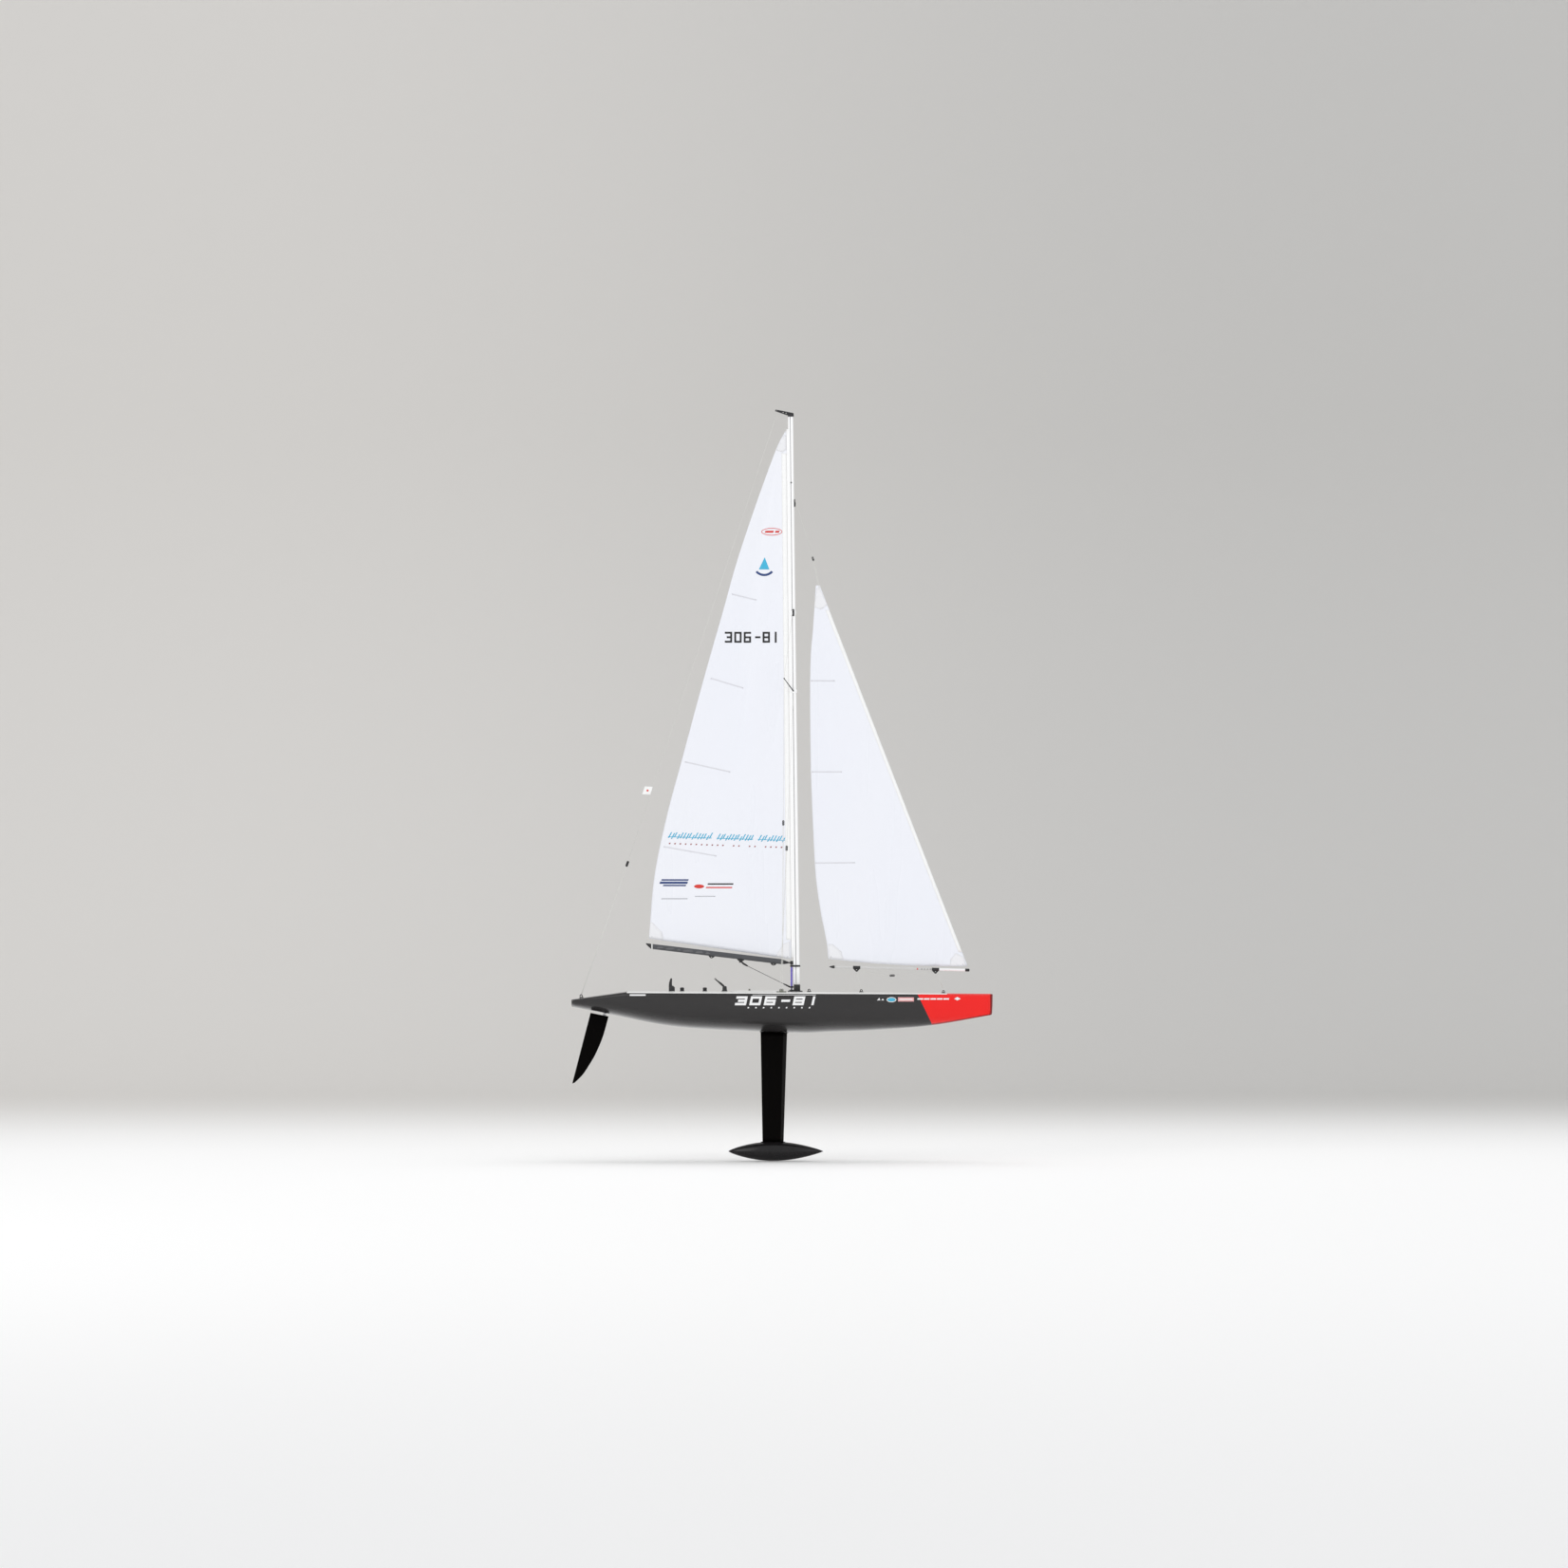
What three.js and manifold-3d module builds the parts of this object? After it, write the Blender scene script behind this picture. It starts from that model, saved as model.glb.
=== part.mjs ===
// A one-metre radio-controlled racing sloop: hull, fin keel with ballast bulb, swinging rig,
// steering gear and sail winch.
// Millimetres. +X forward, +Y to port, +Z up.
// The origin is the bottom of the hull on its centreline, over the middle of the keel.

import * as THREE from 'three';
import { mergeVertices } from 'three/addons/utils/BufferGeometryUtils.js';
import Module from 'manifold-3d';

const wasm = await Module();
wasm.setup();

// ---------------------------------------------------------------- driving dimensions

const GAP = 0.3;                    // clearance between pieces that rest on each other

const TRANSOM_X = -478.5;
const STEM_X = 514;
const BOW_X = 519.5;
const KNUCKLE_X = -348;             // where the sheer turns down to the transom
const SHEER = { transom: 74.9, knuckle: 92.7, bow: 89.1 };
const HALF_BEAM = [[-478.5, 56], [-400, 80], [-300, 98], [-180, 111], [-40, 117], [100, 110],
  [236, 86], [360, 51], [450, 24], [500, 9], [520, 4]];
const BOTTOM = [[-478.5, 58.4], [-392, 41.7], [-276, 18.3], [-198, 8.6], [-80, 2.3], [74, -2.9],
  [145, 0.2], [236, 3.6], [375, 14.7], [514, 38.8]];
const STATIONS = [-478.5, -440, -395, -348, -300, -240, -180, -120, -60, 0, 60, 120, 180, 240,
  300, 350, 400, 440, 475, 500, 514];
const HULL_WALL = 2;
const DECK_THICKNESS = 1.5;
const DECK_CROWN = 3;
const HATCH = { back: -98, front: 16, halfWidth: 44, corner: 12, lap: 6, thickness: 1.5 };

const FIN = { rootBack: -31.6, rootFront: 31.4, tipBack: -27, tipFront: 23, tipZ: -260.6,
  thickness: 7.5 };
const FIN_TAB = { halfLength: 24, halfWidth: 3, top: 50, spigot: 10 };
const BULB = { back: -108, front: 117, z: -283.8, radius: 22.8 };
const TRUNK = { halfLength: 31, halfWidth: 8, bottom: 3.4, top: 60, lid: 4 };

const RUDDER_AXIS = new THREE.Vector3(0.25, 0, 0.968).normalize();
const RUDDER_ENTRY = new THREE.Vector3(-402, 0, 40.6);   // where the stock leaves the hull
const STOCK_RADIUS = 2;
const STEERING_ARM = 17;
const TILLER_HEIGHT = 34;           // along the stock, above its entry
const RUDDER_LEADING = [[35.6, -392.5], [1.8, -401.5], [-21, -409], [-54, -423.5], [-76, -436],
  [-103, -454], [-119, -470]];
const RUDDER_TRAILING = { top: [-435.4, 44.2], tip: [-477.5, -119] };
const RUDDER_TIP_Z = -123.9;

const TRAY = { back: -186, front: -52, halfWidth: 46, top: 27, thickness: 3 };
const SERVO_TOP = new THREE.Vector3(-150, 0, 66);        // on an axis like the rudder stock's
const WINCH = { x: -84, bodyHeight: 36 };
const SWITCH = { x: -80, y: 30, height: 12 };

const MAST = { baseX: 54.1, baseZ: 98, topX: 39.5, topZ: 1465, footZ: 111.6,
  halfChordBase: 7.5, halfChordTop: 6, halfWidthBase: 5.5, halfWidthTop: 4.4, wall: 1 };
const LUFF_SETBACK = 4.3;           // from the mast's aft face to the line the mainsail turns on
const SPREADER = { z: 809, tipX: 24, tipY: 62, tipZ: 836, radius: 1.4 };
const TANG_Z = 996;
const CHAINPLATE = { x: 18, y: 95 };
const STAY_RADIUS = 0.5;
const DOUBLED_RADIUS = 1.1;
const UPPER_BOWSIE_Z = 493;
const LOWER_BOWSIE_Z = 434;

const BACKSTAY = { deckX: -457, bowsieX: -348.5, bowsieZ: 398, topX: 8, topZ: 1476 };
const FLAG = { z: 572, size: 19, thickness: 0.6 };

const BOOM = { aftX: -288, aftZ: 201.5, foreX: 18, foreZ: 165.5, halfHeight: 6.2, halfWidth: 4.5,
  capLength: 16, eyes: [-148, -76, -1] };
const GOOSENECK_Z = 163;
const VANG = { collarZ: 103.5, boomX: -84 };
const MAINSAIL = { tackZ: 171.5, clewZ: 221, headZ: 1430, camber: 0.03 };
const MAIN_LEECH = [[221, -297], [369, -284], [511, -255], [650, -218], [832, -169], [998, -122],
  [1113, -90], [1223, -54], [1336, -14], [1400, 11], [1430, 27]];
const SAIL_THICKNESS = 0.6;

const JIB_PIVOT = { deck: [402.7, 92.5], mast: [51.9, 1262.3] };
const JIB_BOOM = { aftX: 132, aftZ: 153.4, foreX: 464.7, foreZ: 145.5, radius: 2.8 };
const JIB_CLIPS = { sheetX: 196, swivelX: 383.5, drop: 7 };
const JIB = { tack: [460, 155.5], clewZ: 172.6, head: [109, 1061.5], camber: 0.035, footRound: 6 };
const JIB_LEECH = [[172.6, 129], [207, 126], [284, 111], [362, 100], [421, 96], [555, 90], [636, 87.5],
  [814, 86], [900, 88], [958, 93], [1061.5, 100]];
const JIB_HALYARD_BOWSIE_Z = 1125;

// ---------------------------------------------------------------- finishes

const FINISH = {
  graphite: { color: 0x33312f, roughness: 0.25, metalness: 0 },
  white: { color: 0xf2f2ee, roughness: 0.35, metalness: 0 },
  film: { color: 0xf1f2f6, roughness: 0.3, metalness: 0 },
  black: { color: 0x141414, roughness: 0.45, metalness: 0 },
  gloss: { color: 0x0c0c0d, roughness: 0.15, metalness: 0 },
  rubber: { color: 0xa81818, roughness: 0.7, metalness: 0 },
  lead: { color: 0x232325, roughness: 0.5, metalness: 0 },
  grey: { color: 0x5c5e52, roughness: 0.5, metalness: 0 },
  silver: { color: 0xd8dade, roughness: 0.3, metalness: 1 },
  boom: { color: 0x38393c, roughness: 0.35, metalness: 0.8 },
  violet: { color: 0x5a4fb0, roughness: 0.3, metalness: 0.9 },
  steel: { color: 0xb8babd, roughness: 0.25, metalness: 1 },
  cord: { color: 0xe6e4dc, roughness: 0.8, metalness: 0 },
  ply: { color: 0xc9a775, roughness: 0.7, metalness: 0 },
  blue: { color: 0x2b56a8, roughness: 0.5, metalness: 0 },
};

const boat = new THREE.Group();

function place(name, geometry, finish, parent = boat) {
  const mesh = new THREE.Mesh(geometry, new THREE.MeshStandardMaterial(FINISH[finish]));
  mesh.name = name;
  parent.add(mesh);
  return mesh;
}

// ---------------------------------------------------------------- shape helpers

const vec = (x, y, z) => new THREE.Vector3(x, y, z);
const mix = (a, b, t) => a + (b - a) * t;

// A smooth curve through (x, value) points, read at x.
function curveAt(points, x) {
  const last = points.length - 1;
  const slope = (i) => {
    const a = points[Math.max(i - 1, 0)];
    const b = points[Math.min(i + 1, last)];
    return (b[1] - a[1]) / (b[0] - a[0]);
  };
  let i = 0;
  while (i < last - 1 && x > points[i + 1][0]) i += 1;
  const [x0, v0] = points[i];
  const [x1, v1] = points[i + 1];
  const span = x1 - x0;
  const t = THREE.MathUtils.clamp((x - x0) / span, 0, 1);
  const t2 = t * t;
  const t3 = t2 * t;
  return (2 * t3 - 3 * t2 + 1) * v0 + (t3 - 2 * t2 + t) * span * slope(i)
    + (3 * t2 - 2 * t3) * v1 + (t3 - t2) * span * slope(i + 1);
}

// A closed skin over rings of equally many points; each end is closed by a strip across its ring.
function loft(rings) {
  const count = rings[0].length;
  const faces = [];
  for (let r = 0; r < rings.length - 1; r += 1) {
    for (let k = 0; k < count; k += 1) {
      const a = r * count + k;
      const b = r * count + ((k + 1) % count);
      faces.push([a, b, b + count], [a, b + count, a + count]);
    }
  }
  const end = (rings.length - 1) * count;
  for (let k = 0; k < Math.floor(count / 2); k += 1) {
    const quad = [k, k + 1, count - 2 - k, count - 1 - k];
    for (const [i, j, m] of [[0, 2, 1], [0, 3, 2]]) {
      const tri = [quad[i], quad[j], quad[m]];
      if (new Set(tri).size < 3) continue;
      faces.push(tri, [end + tri[0], end + tri[2], end + tri[1]]);
    }
  }
  const points = rings.flat();
  const volume = faces.reduce((sum, [a, b, c]) => (
    sum + points[a].dot(points[b].clone().cross(points[c]))), 0);
  const index = faces.flatMap(([a, b, c]) => (volume < 0 ? [a, c, b] : [a, b, c]));
  const geometry = new THREE.BufferGeometry();
  const flat = points.flatMap((p) => p.toArray());
  geometry.setAttribute('position', new THREE.Float32BufferAttribute(flat, 3));
  geometry.setIndex(index);
  return geometry;
}

// A round cord or rod along straight stretches, with its own radius at each point.
function sweep(points, radii, sides = 8) {
  const rings = points.map((point, i) => {
    const before = points[Math.max(i - 1, 0)];
    const after = points[Math.min(i + 1, points.length - 1)];
    const along = after.clone().sub(before).normalize();
    const helper = Math.abs(along.y) < 0.9 ? vec(0, 1, 0) : vec(1, 0, 0);
    const u = helper.cross(along).normalize();
    const v = along.clone().cross(u);
    const ring = [];
    for (let k = 0; k < sides; k += 1) {
      const angle = (2 * Math.PI * k) / sides;
      ring.push(point.clone().addScaledVector(u, Math.cos(angle) * radii[i])
        .addScaledVector(v, Math.sin(angle) * radii[i]));
    }
    return ring;
  });
  return loft(rings);
}

const rod = (from, to, radius, sides = 10) => sweep([from, to], [radius, radius], sides);

function box(x0, x1, y0, y1, z0, z1) {
  const geometry = new THREE.BoxGeometry(x1 - x0, y1 - y0, z1 - z0);
  return geometry.translate((x0 + x1) / 2, (y0 + y1) / 2, (z0 + z1) / 2);
}

// A body of revolution about a vertical axis; the profile is [radius, height] from the bottom up.
function turned(profile, at, sides = 16) {
  const points = profile.map(([r, z]) => new THREE.Vector2(r, z));
  const geometry = new THREE.LatheGeometry(points, sides);
  return geometry.rotateX(Math.PI / 2).translate(at.x, at.y, at.z);
}

// A plate standing on the centreline, from its outline in X and Z.
function plate(outline, thickness) {
  const shape = new THREE.Shape(outline.map(([x, z]) => new THREE.Vector2(x, z)));
  const geometry = new THREE.ExtrudeGeometry(shape, { depth: thickness, bevelEnabled: false });
  return geometry.translate(0, 0, -thickness / 2).rotateX(Math.PI / 2);
}

// A flat panel lying level, with rounded corners.
function panel(x0, x1, halfWidth, corner, bottom, thickness) {
  const shape = new THREE.Shape();
  shape.moveTo(x0 + corner, -halfWidth);
  shape.lineTo(x1 - corner, -halfWidth);
  shape.absarc(x1 - corner, -halfWidth + corner, corner, -Math.PI / 2, 0);
  shape.absarc(x1 - corner, halfWidth - corner, corner, 0, Math.PI / 2);
  shape.absarc(x0 + corner, halfWidth - corner, corner, Math.PI / 2, Math.PI);
  shape.absarc(x0 + corner, -halfWidth + corner, corner, Math.PI, Math.PI * 1.5);
  const options = { depth: thickness, bevelEnabled: false, curveSegments: 4 };
  return new THREE.ExtrudeGeometry(shape, options).translate(0, 0, bottom);
}

function solid(geometry) {
  const bare = geometry.clone();
  bare.deleteAttribute('normal');
  bare.deleteAttribute('uv');
  const merged = mergeVertices(bare, 1e-4);
  return new wasm.Manifold(new wasm.Mesh({
    numProp: 3,
    vertProperties: new Float32Array(merged.attributes.position.array),
    triVerts: new Uint32Array(merged.index.array),
  }));
}

function surface(manifold) {
  const { vertProperties, triVerts } = manifold.getMesh();
  const geometry = new THREE.BufferGeometry();
  geometry.setAttribute('position', new THREE.BufferAttribute(vertProperties, 3));
  geometry.setIndex(new THREE.BufferAttribute(triVerts, 1));
  return geometry;
}

function cut(blank, ...tools) {
  return surface(tools.reduce((left, tool) => left.subtract(solid(tool)), solid(blank)));
}

function join(first, ...others) {
  return surface(others.reduce((sum, other) => sum.add(solid(other)), solid(first)));
}

// ---------------------------------------------------------------- hull lines

const halfBeam = (x) => curveAt(HALF_BEAM, x);
const bottom = (x) => curveAt(BOTTOM, x);

function sheer(x) {
  if (x < KNUCKLE_X) {
    return mix(SHEER.transom, SHEER.knuckle, (x - TRANSOM_X) / (KNUCKLE_X - TRANSOM_X));
  }
  return mix(SHEER.knuckle, SHEER.bow, (x - KNUCKLE_X) / (BOW_X - KNUCKLE_X));
}

function deckTop(x, y = 0) {
  const crown = DECK_CROWN * (halfBeam(x) / halfBeam(0));
  return sheer(x) + crown * (1 - (y / halfBeam(x)) ** 2);
}

// One section of the hull, from the port rim round the bottom to the starboard rim.
// Rounded bilges, a little finer towards the bow.
function hullSection(x, inset, rimRise) {
  const steps = 7;
  const fullness = curveAt([[TRANSOM_X, 2.5], [0, 2.5], [250, 2.4], [STEM_X, 2.3]], x);
  const rim = sheer(x) - DECK_THICKNESS - GAP;
  const width = halfBeam(x) - inset;
  const depth = rim - bottom(x) - inset;
  const ring = [];
  for (let k = -steps; k <= steps; k += 1) {
    const angle = (Math.PI / 2) * (1 - Math.abs(k) / steps);
    const y = -Math.sign(k) * width * Math.cos(angle) ** (2 / fullness);
    const z = rim - depth * Math.sin(angle) ** (2 / fullness);
    ring.push(vec(x, y, Math.abs(k) === steps ? rim + rimRise : z));
  }
  return ring;
}

// ---------------------------------------------------------------- hull and deck

function rudderPoint(distance, y = 0) {
  return RUDDER_ENTRY.clone().addScaledVector(RUDDER_AXIS, distance).add(vec(0, y, 0));
}

function buildHull() {
  const outside = loft(STATIONS.map((x) => hullSection(x, 0, 0)));
  const innerStations = STATIONS.filter((x) => x > TRANSOM_X && x < STEM_X - 10);
  const inside = loft([TRANSOM_X + HULL_WALL, ...innerStations].map((x) => hullSection(x, HULL_WALL, 8)));
  const slot = box(-FIN_TAB.halfLength - 0.5, FIN_TAB.halfLength + 0.5,
    -FIN_TAB.halfWidth - 0.5, FIN_TAB.halfWidth + 0.5, -10, 12);
  const stockHole = rod(rudderPoint(-12), rudderPoint(30), 4.4, 12);
  place('hull_shell', cut(outside, inside, slot, stockHole), 'graphite');

  const bumperLevels = [[39.2, 2, 3], [43, 3.6, 3.8], [60, 4.6, 4], [88.8, 5.2, 4]];
  const bumper = loft(bumperLevels.map(([z, depth, halfWidth]) => {
    const ring = [];
    for (let k = 0; k <= 8; k += 1) {
      const angle = Math.PI * (k / 8 - 0.5);
      ring.push(vec(STEM_X + GAP + depth * Math.cos(angle), halfWidth * Math.sin(angle), z));
    }
    return ring;
  }));
  place('bow_bumper', bumper, 'rubber');
}

function buildDeck() {
  const across = 8;
  const sheet = loft(STATIONS.map((x) => {
    const ring = [];
    for (let k = 0; k <= across; k += 1) {
      const y = halfBeam(x) * (1 - (2 * k) / across);
      ring.push(vec(x, y, deckTop(x, y)));
    }
    const under = ring.map((p) => vec(p.x, p.y, p.z - DECK_THICKNESS)).reverse();
    return [...ring, ...under];
  }));
  const opening = panel(HATCH.back, HATCH.front, HATCH.halfWidth, HATCH.corner, 70, 60);
  place('deck', cut(sheet, opening), 'white');

  const seat = deckTop(0) + GAP;
  const cover = panel(HATCH.back - HATCH.lap, HATCH.front + HATCH.lap, HATCH.halfWidth + HATCH.lap,
    HATCH.corner + HATCH.lap, seat + 0.2, HATCH.thickness);
  place('hatch_cover', cover, 'white');
  const knobSeat = vec(-58, 0, seat + 0.2 + HATCH.thickness + GAP);
  place('hatch_knob', turned([[0, 0], [3.6, 0], [3.6, 0.8], [1.7, 1.3], [1.6, 2.6], [2.8, 3.4],
    [2.7, 4.4], [0, 4.8]], knobSeat, 14), 'grey');
}

// ---------------------------------------------------------------- keel

// Half the thickness of a streamlined section, for a chord of 1 and a thickness of 1.
const foil = (s) => (
  5 * (0.2969 * Math.sqrt(s) - 0.126 * s - 0.3516 * s ** 2 + 0.2843 * s ** 3 - 0.1015 * s ** 4));

// A foil ring between a leading and a trailing point; the edges keep a small thickness.
function foilRing(lead, trail, thickness, steps = 8) {
  const edge = 0.35;
  const ring = [];
  for (let k = 0; k <= steps; k += 1) {
    const s = (1 - Math.cos((Math.PI * k) / steps)) / 2;
    const point = lead.clone().lerp(trail, s);
    ring.push(point.setY(edge + thickness * foil(s)));
  }
  const other = ring.map((p) => vec(p.x, -p.y, p.z)).reverse();
  return [...ring, ...other];
}

function buildKeel() {
  const under = (x) => bottom(x) - 0.5;
  const finRings = [];
  for (let k = 0; k <= 3; k += 1) {
    const t = k / 3;
    const lead = vec(mix(FIN.rootFront, FIN.tipFront, t), 0, mix(under(FIN.rootFront), FIN.tipZ, t));
    const trail = vec(mix(FIN.rootBack, FIN.tipBack, t), 0, mix(under(FIN.rootBack), FIN.tipZ, t));
    finRings.push(foilRing(lead, trail, FIN.thickness * mix(1, 0.8, t)));
  }
  const tab = box(-FIN_TAB.halfLength, FIN_TAB.halfLength, -FIN_TAB.halfWidth, FIN_TAB.halfWidth,
    -6, FIN_TAB.top);
  const spigot = box(FIN.tipBack + 9, FIN.tipFront - 9, -2, 2, FIN.tipZ - FIN_TAB.spigot, FIN.tipZ + 5);
  place('keel_fin', join(loft(finRings), tab, spigot), 'gloss');

  const steps = 12;
  const profile = [];
  for (let k = 0; k <= steps; k += 1) {
    const s = k / steps;
    const swell = Math.sin(Math.PI * s ** 0.93) ** 0.82;
    profile.push([k === 0 || k === steps ? 0 : BULB.radius * swell, mix(BULB.back, BULB.front, s)]);
  }
  const spindle = turned(profile, vec(0, 0, 0), 20).rotateY(Math.PI / 2).translate(0, 0, BULB.z);
  const seat = box(FIN.tipBack - 1, FIN.tipFront + 1, -4.5, 4.5, FIN.tipZ - GAP - 2, FIN.tipZ + 10);
  const socket = box(FIN.tipBack + 8.6, FIN.tipFront - 8.6, -2.4, 2.4, FIN.tipZ - FIN_TAB.spigot - GAP,
    FIN.tipZ + 10);
  place('ballast_bulb', cut(spindle, seat, socket), 'lead');

  const casing = box(-TRUNK.halfLength, TRUNK.halfLength, -TRUNK.halfWidth, TRUNK.halfWidth,
    TRUNK.bottom, TRUNK.top);
  const well = box(-FIN_TAB.halfLength - 1, FIN_TAB.halfLength + 1, -FIN_TAB.halfWidth - 0.6,
    FIN_TAB.halfWidth + 0.6, TRUNK.bottom - 5, TRUNK.top - TRUNK.lid);
  const boltHole = rod(vec(0, 0, TRUNK.top - 12), vec(0, 0, TRUNK.top + 5), 2.6, 12);
  place('keel_trunk', cut(casing, well, boltHole), 'white');

  const nutBase = TRUNK.top + GAP - FIN_TAB.top;
  place('keel_bolt', turned([[0, GAP], [2, GAP], [2, nutBase], [6, nutBase], [6, nutBase + 5],
    [2, nutBase + 5], [2, nutBase + 9], [0, nutBase + 9]], vec(0, 0, FIN_TAB.top), 12), 'steel');
}

// ---------------------------------------------------------------- rudder and steering gear

function armPlate(hub, thickness, boreRadius) {
  const shape = new THREE.Shape();
  const hubRadius = 5;
  const endRadius = 3;
  shape.absarc(0, 0, hubRadius, Math.PI * 0.95, Math.PI * 2.05);
  shape.absarc(0, STEERING_ARM, endRadius, 0.05, Math.PI - 0.05);
  if (boreRadius > 0) {
    const bore = new THREE.Path();
    bore.absarc(0, 0, boreRadius, 0, Math.PI * 2);
    shape.holes.push(bore);
  }
  const options = { depth: thickness, bevelEnabled: false, curveSegments: 8 };
  const tilt = Math.atan2(RUDDER_AXIS.x, RUDDER_AXIS.z);
  return new THREE.ExtrudeGeometry(shape, options).rotateY(tilt).translate(hub.x, hub.y, hub.z);
}

function buildSteering() {
  const rows = RUDDER_LEADING.map(([z, x]) => {
    const t = (RUDDER_LEADING[0][0] - z) / (RUDDER_LEADING[0][0] - RUDDER_LEADING.at(-1)[0]);
    const [topX, topZ] = RUDDER_TRAILING.top;
    const [tipX, tipZ] = RUDDER_TRAILING.tip;
    const trail = vec(mix(topX, tipX, t), 0, mix(topZ, tipZ, t));
    return foilRing(vec(x, 0, z), trail, 7 * mix(1, 0.35, t), 6);
  });
  rows.push(foilRing(vec(-475.5, 0, RUDDER_TIP_Z + 1.5), vec(-478.5, 0, RUDDER_TIP_Z), 0.6, 6));
  const stock = rod(rudderPoint(-30), rudderPoint(TILLER_HEIGHT + 4), STOCK_RADIUS, 12);
  place('rudder', join(loft(rows), stock), 'gloss');

  const tube = rod(rudderPoint(2), rudderPoint(TILLER_HEIGHT - 6), 4, 12);
  const tubeBore = rod(rudderPoint(-4), rudderPoint(TILLER_HEIGHT), STOCK_RADIUS + 0.4, 12);
  place('rudder_tube', cut(tube, tubeBore), 'steel');

  const armThickness = 2.4;
  const tillerHub = rudderPoint(TILLER_HEIGHT - 3);
  place('tiller_arm', armPlate(tillerHub, armThickness, STOCK_RADIUS + GAP), 'black');

  const hornBase = SERVO_TOP.clone().addScaledVector(RUDDER_AXIS, 3);
  place('servo_horn', armPlate(hornBase, armThickness, 0), 'white');

  const above = armThickness + 2.2;
  const aftEnd = rudderPoint(TILLER_HEIGHT - 3 + above, STEERING_ARM);
  const foreEnd = hornBase.clone().addScaledVector(RUDDER_AXIS, above).add(vec(0, STEERING_ARM, 0));
  place('pushrod', rod(aftEnd, foreEnd, 0.9, 8), 'steel');

  const tilt = Math.atan2(RUDDER_AXIS.x, RUDDER_AXIS.z);
  const body = new THREE.BoxGeometry(40, 20, 46).translate(0, 0, -23);
  const ears = new THREE.BoxGeometry(54, 19, 2.4).translate(0, 0, -11);
  const boss = new THREE.CylinderGeometry(5.6, 5.6, 3, 14).rotateX(Math.PI / 2).translate(0, 0, 1);
  const servo = join(body, ears, boss).rotateY(tilt).translate(SERVO_TOP.x, SERVO_TOP.y, SERVO_TOP.z);
  place('rudder_servo', cut(servo, box(-200, -100, -40, 40, 0, TRAY.top + GAP)), 'black');
}

// ---------------------------------------------------------------- equipment inside the hull

function buildEquipment() {
  place('equipment_tray', panel(TRAY.back, TRAY.front, TRAY.halfWidth, 10, TRAY.top - TRAY.thickness,
    TRAY.thickness), 'ply');
  const floor = TRAY.top + GAP;

  const winchTop = floor + WINCH.bodyHeight;
  const winchBody = box(WINCH.x - 28, WINCH.x + 14, -11, 11, floor, winchTop);
  const winchBoss = turned([[0, -2], [6, -2], [6, 2], [0, 2]], vec(WINCH.x, 0, winchTop), 14);
  place('winch_servo', join(winchBody, winchBoss), 'black');
  place('winch_drum', turned([[0, 0], [17, 0], [17, 1.5], [13, 2.5], [13, 7], [17, 8], [17, 9.5],
    [4, 9.5], [4, 11], [0, 11]], vec(WINCH.x, 0, winchTop + 2 + GAP), 20), 'white');

  place('receiver', box(-150, -108, 24, 42, floor, floor + 12), 'blue');
  place('battery_pack', box(72, 132, -15, 15, 5, 33), 'blue');

  const switchTop = floor + SWITCH.height;
  place('power_switch', box(SWITCH.x - 12, SWITCH.x + 12, SWITCH.y - 6, SWITCH.y + 6, floor, switchTop),
    'black');
  place('switch_slider', box(SWITCH.x - 5, SWITCH.x, SWITCH.y - 2, SWITCH.y + 2, switchTop + GAP,
    switchTop + 5), 'white');
}

// ---------------------------------------------------------------- mast and standing rigging

const mastAt = (z) => (z - MAST.baseZ) / (MAST.topZ - MAST.baseZ);
const mastX = (z) => mix(MAST.baseX, MAST.topX, mastAt(z));
const mastHalfChord = (z) => mix(MAST.halfChordBase, MAST.halfChordTop, mastAt(z));
const mastHalfWidth = (z) => mix(MAST.halfWidthBase, MAST.halfWidthTop, mastAt(z));
const luffX = (z) => mastX(z) - mastHalfChord(z) - LUFF_SETBACK;

function mastRing(z, grow, sides = 16) {
  const ring = [];
  for (let k = 0; k < sides; k += 1) {
    const angle = (2 * Math.PI * k) / sides;
    ring.push(vec(mastX(z) + (mastHalfChord(z) + grow) * Math.cos(angle),
      (mastHalfWidth(z) + grow) * Math.sin(angle), z));
  }
  return ring;
}

// A ring round the mast.
function mastBand(z, height, wall) {
  const outside = loft([mastRing(z, GAP + wall), mastRing(z + height, GAP + wall)]);
  const inside = loft([mastRing(z - 2, GAP), mastRing(z + height + 2, GAP)]);
  return { outside, inside };
}

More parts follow.
